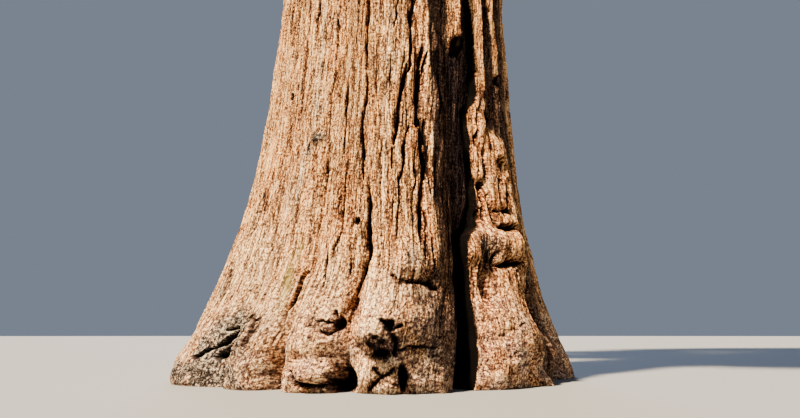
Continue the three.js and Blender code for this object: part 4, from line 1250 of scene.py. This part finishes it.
def plan_bough(i):
    """Where a bough leaves the trunk, its curve and girth, and the mass of foliage that it carries."""
    t = i / (BOUGH_COUNT - 1)
    foot_height = mix(*BOUGH_HEIGHTS, t) + HEIGHT_STRAY * (chance(i, 1) - 0.5)
    angle = i * GOLDEN_ANGLE + ANGLE_STRAY * (chance(i, 2) - 0.5)
    across = mix(*MASS_RADII, t) * (MASS_SIZES[0] + MASS_SIZES[1] * chance(i, 3))
    radii = across * np.array([1, 1, MASS_HEIGHT_SHARE])
    centre_height = foot_height + mix(*BOUGH_RISES, t) * (RISE_SIZES[0] + RISE_SIZES[1] * chance(i, 4))
    centre = outward(angle) * (crown_radius(centre_height) - across) + UP * centre_height
    pitches = mix(*SET_OUT_PITCHES, chance(i, 5)), mix(*COME_IN_PITCHES, chance(i, 6))
    set_out, come_in = (outward(angle) * math.cos(pitch) + UP * math.sin(pitch) for pitch in pitches)
    tip = centre - come_in * TIP_DEPTH / np.linalg.norm(come_in / radii)
    foot = axis_at(foot_height) + outward(angle) * FOOT_DEPTH * float(shaft_radius(foot_height))
    handle = HANDLE * np.linalg.norm(tip - foot)
    curve = (foot, foot + set_out * handle, tip - come_in * handle, tip)
    girth = BOUGH_GIRTH * float(shaft_radius(foot_height)) + BOUGH_LEAST
    return curve, girth, Mass(i, centre, radii, tip, STEM_SHARE * girth * BOUGH_TIP_SHARE)


def plan_head():
    """The masses that the trunk carries itself: a ring round its head, and one on its tip."""
    masses = []
    for i in range(RING_COUNT):
        seed = BOUGH_COUNT + i
        angle = 2 * math.pi * (i + RING_TURN) / RING_COUNT
        radii = RING_RADIUS * np.array([1, 1, MASS_HEIGHT_SHARE])
        height = RING_HEIGHT + RING_STRAY * (chance(seed, 1) - 0.5)
        low = height - STEM_DROP
        stem = axis_at(low) + outward(angle) * RING_STEM_DEPTH * float(shaft_radius(low))
        masses.append(Mass(seed, outward(angle) * RING_DISTANCE + UP * height, radii, stem, RING_STEM))
    seed = BOUGH_COUNT + RING_COUNT
    highest = SPRAY_REACH * TOP_RADIUS * spiral(1, SHOOT_COUNT, seed)[0, 2]
    top = Mass(seed, axis_at(TREE_HEIGHT - highest), np.full(3, TOP_RADIUS), axis_at(TRUNK_TOP), TOP_STEM)
    return masses + [top]


def spiral(count, whole, seed):
    """The first directions of this whole number, on a spiral that covers all sides evenly: heights fall in
    equal steps, and each turns by the golden angle."""
    k = np.arange(count)
    height = 1 - (2 * k + 0.5) / whole
    turn = k * GOLDEN_ANGLE + 2 * math.pi * chance(seed, 50)
    level = np.sqrt(1 - height**2)
    return np.stack([level * np.cos(turn), level * np.sin(turn), height], axis=1)


def tubes(starts, bends, ends, first_radii, last_radii, sides, spans):
    """Tapering twigs on curves of three points: rings of points across each curve's tangent, drawn in to a
    point at the far end and open at the near one, which is inside wood. Returns points and quads."""
    t = np.linspace(0, 1, spans + 1)[None, :, None]
    a, b, c = starts[:, None], bends[:, None], ends[:, None]
    middle = arc(a, b, c, t)
    way = unit(2 * (1 - t) * (b - a) + 2 * t * (c - b))
    reference = np.where(np.abs(way[:, :1, 2:]) > 0.8, np.array([1.0, 0, 0]), UP)
    side = unit(np.cross(reference, way))
    face = np.cross(way, side)
    radii = mix(first_radii[:, None], last_radii[:, None], t[..., 0])
    radii[:, -1] *= TWIG_POINT
    turn = 2 * math.pi * np.arange(sides) / sides
    rim = np.cos(turn)[:, None] * side[:, :, None] + np.sin(turn)[:, None] * face[:, :, None]
    points = middle[:, :, None] + radii[:, :, None, None] * rim
    one = grid_faces(spans + 1, sides, closed=True)
    faces = (np.arange(len(starts)) * (spans + 1) * sides)[:, None, None] + one
    return points.reshape(-1, 3), faces.reshape(-1, 4)


def join(tubes_of_wood):
    """The points and faces of many tubes as those of one piece, wound to face outward."""
    points, faces, shift = [], [], 0
    for tube_points, tube_faces in tubes_of_wood:
        points.append(tube_points)
        faces.append(tube_faces[:, ::-1] + shift)
        shift += len(tube_points)
    return np.concatenate(points), faces


def bough_surface(i, curve, girth):
    """A limb's bark: rings round its curve, with plates and streaks of relief that run along it, and both
    ends drawn to a point."""
    u = np.linspace(0, 1, BOUGH_SPANS + 1)
    middle = bezier(curve, u)
    way = unit(np.gradient(middle, axis=0))
    side = unit(np.cross(UP, way))
    face = np.cross(way, side)
    lengths = np.concatenate([[0], np.cumsum(np.linalg.norm(np.diff(middle, axis=0), axis=1))])
    turn = np.arange(BOUGH_SIDES) / BOUGH_SIDES
    around, run = np.meshgrid(turn, lengths)
    radius = girth * (mix(1, BOUGH_TIP_SHARE, u) + COLLAR * np.exp(-u / COLLAR_LENGTH))[:, None]
    relief, waves = 1, []
    for count, length, seed, depth in (BOUGH_BROAD, BOUGH_STREAK, BOUGH_KNOT):
        waves.append(noise(around * count, run / length, seed + i, count))
        relief = relief + depth * waves[-1]
    broad, streak, knot = waves
    radius = radius * relief
    radius[[0, -1]] *= BOUGH_POINT
    angle = 2 * math.pi * around[..., None]
    rim = np.cos(angle) * side[:, None] + np.sin(angle) * face[:, None]
    points = middle[:, None] + radius[..., None] * rim
    weathering_and_shade = BOUGH_TONE[0] + BOUGH_TONE[1] * broad + BOUGH_TONE[2] * streak
    fields = {"weathering_and_shade": weathering_and_shade, "plate": 0.5 + 0.3 * knot}
    grain = np.stack([around * 2 * math.pi * girth + i, run], axis=-1)
    return points.reshape(-1, 3), {k: v.ravel() for k, v in fields.items()}, grain.reshape(-1, 2)


def build_boughs(bark, boughs):
    """All limbs in one piece of bark."""
    limbs = [bough_surface(i, curve, girth) for i, (curve, girth, _) in enumerate(boughs)]
    one = grid_faces(BOUGH_SPANS + 1, BOUGH_SIDES, closed=True)
    points, faces = join([(limb, one) for limb, _, _ in limbs])
    fields = {k: np.concatenate([shade[k] for _, shade, _ in limbs]) for k in ("weathering_and_shade", "plate")}
    grain = np.concatenate([grain for _, _, grain in limbs])
    nodes = [f"bough_{i + 1:02d}" for i in range(BOUGH_COUNT)]
    make_piece("boughs", points, faces, bark, nodes, fields, grain)


def place_tufts(masses, ways):
    """Where the tufts stand: each main shoot ends in a lobe of its own, whose size varies, and the lobe's
    tufts stand round it on a spiral about the shoot. The last mass, on the trunk's tip, narrows upward. A
    tuft that is deep in another mass, or at the trunk, is left out. Returns each tuft's place, mass, shoot
    and heading."""
    centres = np.array([m.centre for m in masses])
    radii = np.array([m.radii for m in masses])
    ring = spiral(TUFTS_TO_A_LOBE, TUFTS_TO_A_LOBE, 0)
    places, owners, shoots, headings = [], [], [], []
    for k, mass in enumerate(masses):
        spin = np.random.default_rng(TUFT_SEED + mass.seed)
        for shoot, way in enumerate(ways[k]):
            size = spin.uniform(*LOBE_SIZES)
            room = 1 - SPRAY_ROOM * SPRAY_LENGTHS[1] / np.linalg.norm(way * mass.radii)
            middle = mass.centre + way * mass.radii * (room * spin.uniform(*LOBE_PLACES) - LOBE_INSET * size)
            heading = unit(way / mass.radii)
            side = unit(np.cross(heading, UP + [0.02, 0.01, 0]))
            frame_axes = np.array([side, np.cross(heading, side), heading])
            about = ring * TUFT_RING[0] + TUFT_RING[1]
            about = unit(about + spin.normal(0, TUFT_STRAY, ring.shape)) @ frame_axes
            place = middle + about * mass.radii * (size * spin.uniform(*TUFT_SPREAD, (len(ring), 1)))
            if k == len(masses) - 1:
                rise = smooth((place[:, 2] - mass.centre[2]) / mass.radii[2], NARROWS_FROM, 1)
                place[:, :2] = mix(place[:, :2], mass.centre[:2], TUFT_DRAWN_IN * rise[:, None])
            depth = np.linalg.norm((place[:, None] - centres) / radii, axis=2)
            depth[:, k] = np.inf
            bare = shaft_radius(np.minimum(place[:, 2], TRUNK_TOP)) + TUFT_CLEAR
            clear = np.hypot(place[:, 0] - lean(place[:, 2]), place[:, 1]) > bare
            kept = (depth.min(axis=1) > TUFT_ROOM) & (clear | (place[:, 2] > TRUNK_TOP))
            places.append(place[kept])
            owners.append(np.full(kept.sum(), k))
            shoots.append(np.full(kept.sum(), shoot))
            headings.append(unit(about / mass.radii * mass.radii[0] + TUFT_LIFT * UP)[kept])
    return np.concatenate(places), np.concatenate(owners), np.concatenate(shoots), np.concatenate(headings)


def build_twigs(bark, masses, ways, tufts, nodes):
    """Stems, main shoots on the source's spiral, a twig to each tuft and finer ones into it, in one
    piece."""
    places, owners, shoots, headings = tufts
    centres = np.array([m.centre for m in masses])
    radii = np.array([m.radii for m in masses])
    stems = np.array([m.stem for m in masses])
    thick = np.array([m.stem_radius for m in masses])
    parts = []

    def grow(starts, bends, ends, thickness, order):
        """Adds the twigs of one order."""
        first, left, sides, spans = order
        radius = first * thickness
        parts.append(tubes(starts, bends, ends, radius, left * radius, sides, spans))

    grow(stems, mix(stems, centres, 0.5) + STEM_RISE * UP, centres, thick, STEM)
    spin = np.random.default_rng(TWIG_SEED)
    starts = mix(stems[:, None], centres[:, None], spin.uniform(*SHOOT_STARTS, (len(masses), SHOOT_COUNT, 1)))
    ends = centres[:, None] + ways * radii[:, None] * SHOOT_END
    bends = mix(starts, ends, 0.5) + unit(ways) * SHOOT_BOW + spin.normal(0, SHOOT_STRAY, ends.shape)
    grow(*(p.reshape(-1, 3) for p in (starts, bends, ends)), np.repeat(thick, SHOOT_COUNT), SHOOT)

    t = spin.uniform(*TWIG_STARTS, (len(places), 1))
    forks = arc(starts[owners, shoots], bends[owners, shoots], ends[owners, shoots], t)
    bend = mix(forks, places, TWIG_BEND) + spin.normal(0, TWIG_STRAY, places.shape) - TWIG_SAG * UP
    grow(forks, bend, places + headings * TWIG_REACH, np.ones(len(places)), TWIG)
    for _ in range(FINE_TWIGS_TO_A_TUFT):
        aim = unit(headings + spin.normal(0, FINE_TWIG_STRAY, places.shape))
        root, middle = places - headings * FINE_TWIG_ROOT, places + aim * FINE_TWIG_BEND
        far_end = places + aim * FINE_TWIG_REACH + FINE_TWIG_RISE * UP
        grow(root, middle, far_end, np.ones(len(places)), FINE_TWIG)

    points, faces = join(parts)
    fields = {"weathering_and_shade": np.full(len(points), TWIG_TONE), "plate": np.full(len(points), 0.5)}
    make_piece("twigs", points, faces, bark, nodes, fields, points[:, [0, 2]] + points[:, [1, 1]])


def build_sprays(tones, masses, tufts, nodes):
    """The needle sprays: a hand of five narrow folded blades, each a kite of two faces. They stand round the
    end of each twig on a spiral and turn up towards the light. Tones are painted light and shade, from dark
    deep in the crown to light at its tips and on tufts that face up."""
    places, owners, _, headings = tufts
    centres = np.array([m.centre for m in masses])[owners]
    radii = np.array([m.radii for m in masses])[owners]
    spin = np.random.default_rng(SPRAY_SEED)
    shape = (len(places), SPRAYS_TO_A_TUFT)
    k = np.arange(SPRAYS_TO_A_TUFT)
    height = 1 - SPRAY_CAP * (k + 0.5) / SPRAYS_TO_A_TUFT
    turn = k * GOLDEN_ANGLE + spin.uniform(0, 2 * math.pi, (len(places), 1))
    level = np.sqrt(1 - height**2)
    side = unit(np.cross(headings, UP + [0.01, 0.02, 0]))
    rise = np.cross(side, headings)
    way = (headings[:, None] * height[:, None] + side[:, None] * (level * np.cos(turn))[..., None]
           + rise[:, None] * (level * np.sin(turn))[..., None])
    aim = unit(way + SPRAY_LIFT * UP + spin.normal(0, SPRAY_STRAY, (*shape, 3)))
    roots = places[:, None] + way * spin.uniform(*SPRAY_ROOTS, (*shape, 1))
    roots = roots + spin.normal(0, ROOT_STRAY, (*shape, 3))
    length = mix(*SPRAY_LENGTHS, spin.random(shape))[..., None]
    across = unit(np.cross(aim, spin.normal(0, 1, (*shape, 3)) + SPRAY_LEVEL * UP))
    face = np.cross(across, aim)
    face = face * np.where((face * (headings[:, None] + UP)).sum(axis=-1, keepdims=True) < 0, -1, 1)
    across = np.cross(aim, face)

    light = LIGHT_AT_REST + LIGHT_OUTWARD * height + LIGHT_UPWARD * headings[:, None, 2]
    light = light + spin.normal(0, SPRAY_LIGHT_STRAY, shape)
    light = light + spin.normal(0, TUFT_LIGHT_STRAY, (len(places), 1))
    tone = np.digitize(light, TONE_EDGES)

    turns, lengths = FINGER_TURNS[:, None], (FINGER_LENGTHS * length)[..., None]
    finger = aim[..., None, :] * np.cos(turns) + across[..., None, :] * np.sin(turns)
    edge = across[..., None, :] * np.cos(turns) - aim[..., None, :] * np.sin(turns)
    lift = face[..., None, :] * lengths
    base = roots[..., None, :] + aim[..., None, :] * (FINGER_ROOT * length[..., None] * np.cos(turns) ** 2)
    widest = base + finger * FINGER_WIDEST * lengths + FINGER_FOLD * lift
    half = edge * FINGER_WIDTH * 0.5 * length[..., None]
    tip = base + finger * lengths - FINGER_DROOP * lift
    corners = np.stack([base, widest - half, tip, widest + half], axis=-2)
    centres, radii = centres[:, None, None, None], radii[:, None, None, None]
    depth = np.linalg.norm((corners - centres) / radii, axis=-1, keepdims=True)
    corners = centres + (corners - centres) * np.minimum(1, SPRAY_REACH / depth)

    for number, material in enumerate(tones):
        chosen = corners[tone == number]
        for piece, first in enumerate(range(0, len(chosen), SPRAYS_TO_A_PIECE)):
            part = chosen[first : first + SPRAYS_TO_A_PIECE].reshape(-1, 3)
            kite = np.arange(len(part) // 4)[:, None] * 4
            faces = np.concatenate([kite + [0, 1, 2], kite + [0, 2, 3]])
            name = f"sprays_{material.name}_{piece + 1}"
            make_piece(name, part, [faces], material, nodes, even=False)


# The needles' colours, painted light and shade, from deep in the crown to its sunlit tips, and the
# light at which each gives way to the next.
NEEDLES = {
    "deep_shade_needles": "3a5032",
    "inner_needles": "557244",
    "grey_green_needles": "708f58",
    "sunny_needles": "8fab66",
    "sunlit_new_tip_needles": "b4c078",
}
TONE_EDGES = (0.1, 0.42, 0.78, 1.12)
LIGHT_AT_REST = 0.27
LIGHT_OUTWARD = 0.5
LIGHT_UPWARD = 0.45
SPRAY_LIGHT_STRAY = 0.3
TUFT_LIGHT_STRAY = 0.22


def needle_material(name, colour):
    """Live sequoia needles: a waxy skin over green that is nearly matt, with a faint broad sheen in the sun.
    The colour is plain, because the tones are dealt out by spray."""
    needles = new_material(name)
    waxy = {"Base Color": srgb(colour), "Roughness": 0.62, "IOR": 1.45, "Specular IOR Level": 0.35}
    end_in_shader(needles, waxy)
    return needles


def build_crown(bark):
    """Plans the boughs and masses and builds them in limbs, twigs and sprays."""
    tones = [needle_material(*tone) for tone in NEEDLES.items()]
    boughs = [plan_bough(i) for i in range(BOUGH_COUNT)]
    masses = [mass for _, _, mass in boughs] + plan_head()
    ways = np.array([spiral(SHOOT_COUNT, SHOOT_COUNT, mass.seed) for mass in masses])
    nodes = [f"foliage_{i + 1:02d}" for i in range(BOUGH_COUNT)]
    nodes += [f"head_foliage_{i + 1:02d}" for i in range(RING_COUNT + 1)]
    tufts = place_tufts(masses, ways)
    build_boughs(bark, boughs)
    build_twigs(bark, masses, ways, tufts, nodes)
    build_sprays(tones, masses, tufts, nodes)


# The stage: a pale floor, a strong soft key from the left front and a pale sky all round.
FLOOR_RADIUS = 400.0
FLOOR_SIDES = 96
FLOOR_DROP = 0.002
FLOOR_GREY = "7a7d82"
LAMPS = {  # azimuth, elevation, strength, degrees across and colour
    "key": (-42, 52, 24.0, 5, "ffe6c0"),
    "fill": (185, 30, 2.5, 20, "c8d8f4"),
}
SKY_STRENGTH = 0.34
SKY_COLOUR = "c6d6ee"
LAMP_DISTANCE = 60

# The camera stands at eye height, this far from the trunk's axis.
CAMERA_PLACE = (0.17, -10.3, 0.62)
CAMERA_TILT = 10.2
PHOTO_WIDTH = 800
FOCAL_PIXELS = 700
SENSOR = 36.0
FARTHEST_SEEN = 1000


def sun(name, azimuth, elevation, strength, softness, colour):
    """A sun from this direction, softened to the shadow of a lamp this many degrees across."""
    a, e = math.radians(azimuth), math.radians(elevation)
    towards = Vector((math.sin(a) * math.cos(e), -math.cos(a) * math.cos(e), math.sin(e)))
    lamp = put(name, bpy.data.lights.new(name, "SUN"))
    lamp.data.energy = strength
    lamp.data.angle = math.radians(softness)
    lamp.data.color = srgb(colour)[:3]
    lamp.rotation_euler = towards.to_track_quat("Z", "Y").to_euler()
    lamp.location = towards * LAMP_DISTANCE


def build_stage():
    """A disc of plain pale floor, the lights, the sky and the camera."""
    turn = np.linspace(0, 2 * math.pi, FLOOR_SIDES, endpoint=False)
    drop = np.full(FLOOR_SIDES, -FLOOR_DROP)
    rim = np.stack([FLOOR_RADIUS * np.cos(turn), FLOOR_RADIUS * np.sin(turn), drop], axis=1)
    mesh = bpy.data.meshes.new("floor")
    mesh.from_pydata(rim.tolist(), [], [list(range(FLOOR_SIDES))])
    paint = new_material("pale_matt_floor_paint")
    end_in_shader(paint, {"Base Color": srgb(FLOOR_GREY), "Roughness": 0.9})
    mesh.materials.append(paint)
    floor = put("floor", mesh)

    for name, lamp in LAMPS.items():
        sun(name, *lamp)
    world = bpy.data.worlds.new("pale_sky")
    world.use_nodes = True
    background = world.node_tree.nodes["Background"]
    background.inputs["Color"].default_value = srgb(SKY_COLOUR)
    background.inputs["Strength"].default_value = SKY_STRENGTH
    bpy.context.scene.world = world

    camera = put("camera", bpy.data.cameras.new("camera"))
    camera.location = CAMERA_PLACE
    camera.rotation_euler = (math.radians(90 + CAMERA_TILT), 0, 0)
    camera.data.sensor_width = SENSOR
    camera.data.lens = SENSOR * FOCAL_PIXELS / PHOTO_WIDTH
    camera.data.clip_end = FARTHEST_SEEN
    bpy.context.scene.camera = camera


build_stage()
bark = sequoia_bark()
build_trunk(bark)
build_crown(bark)
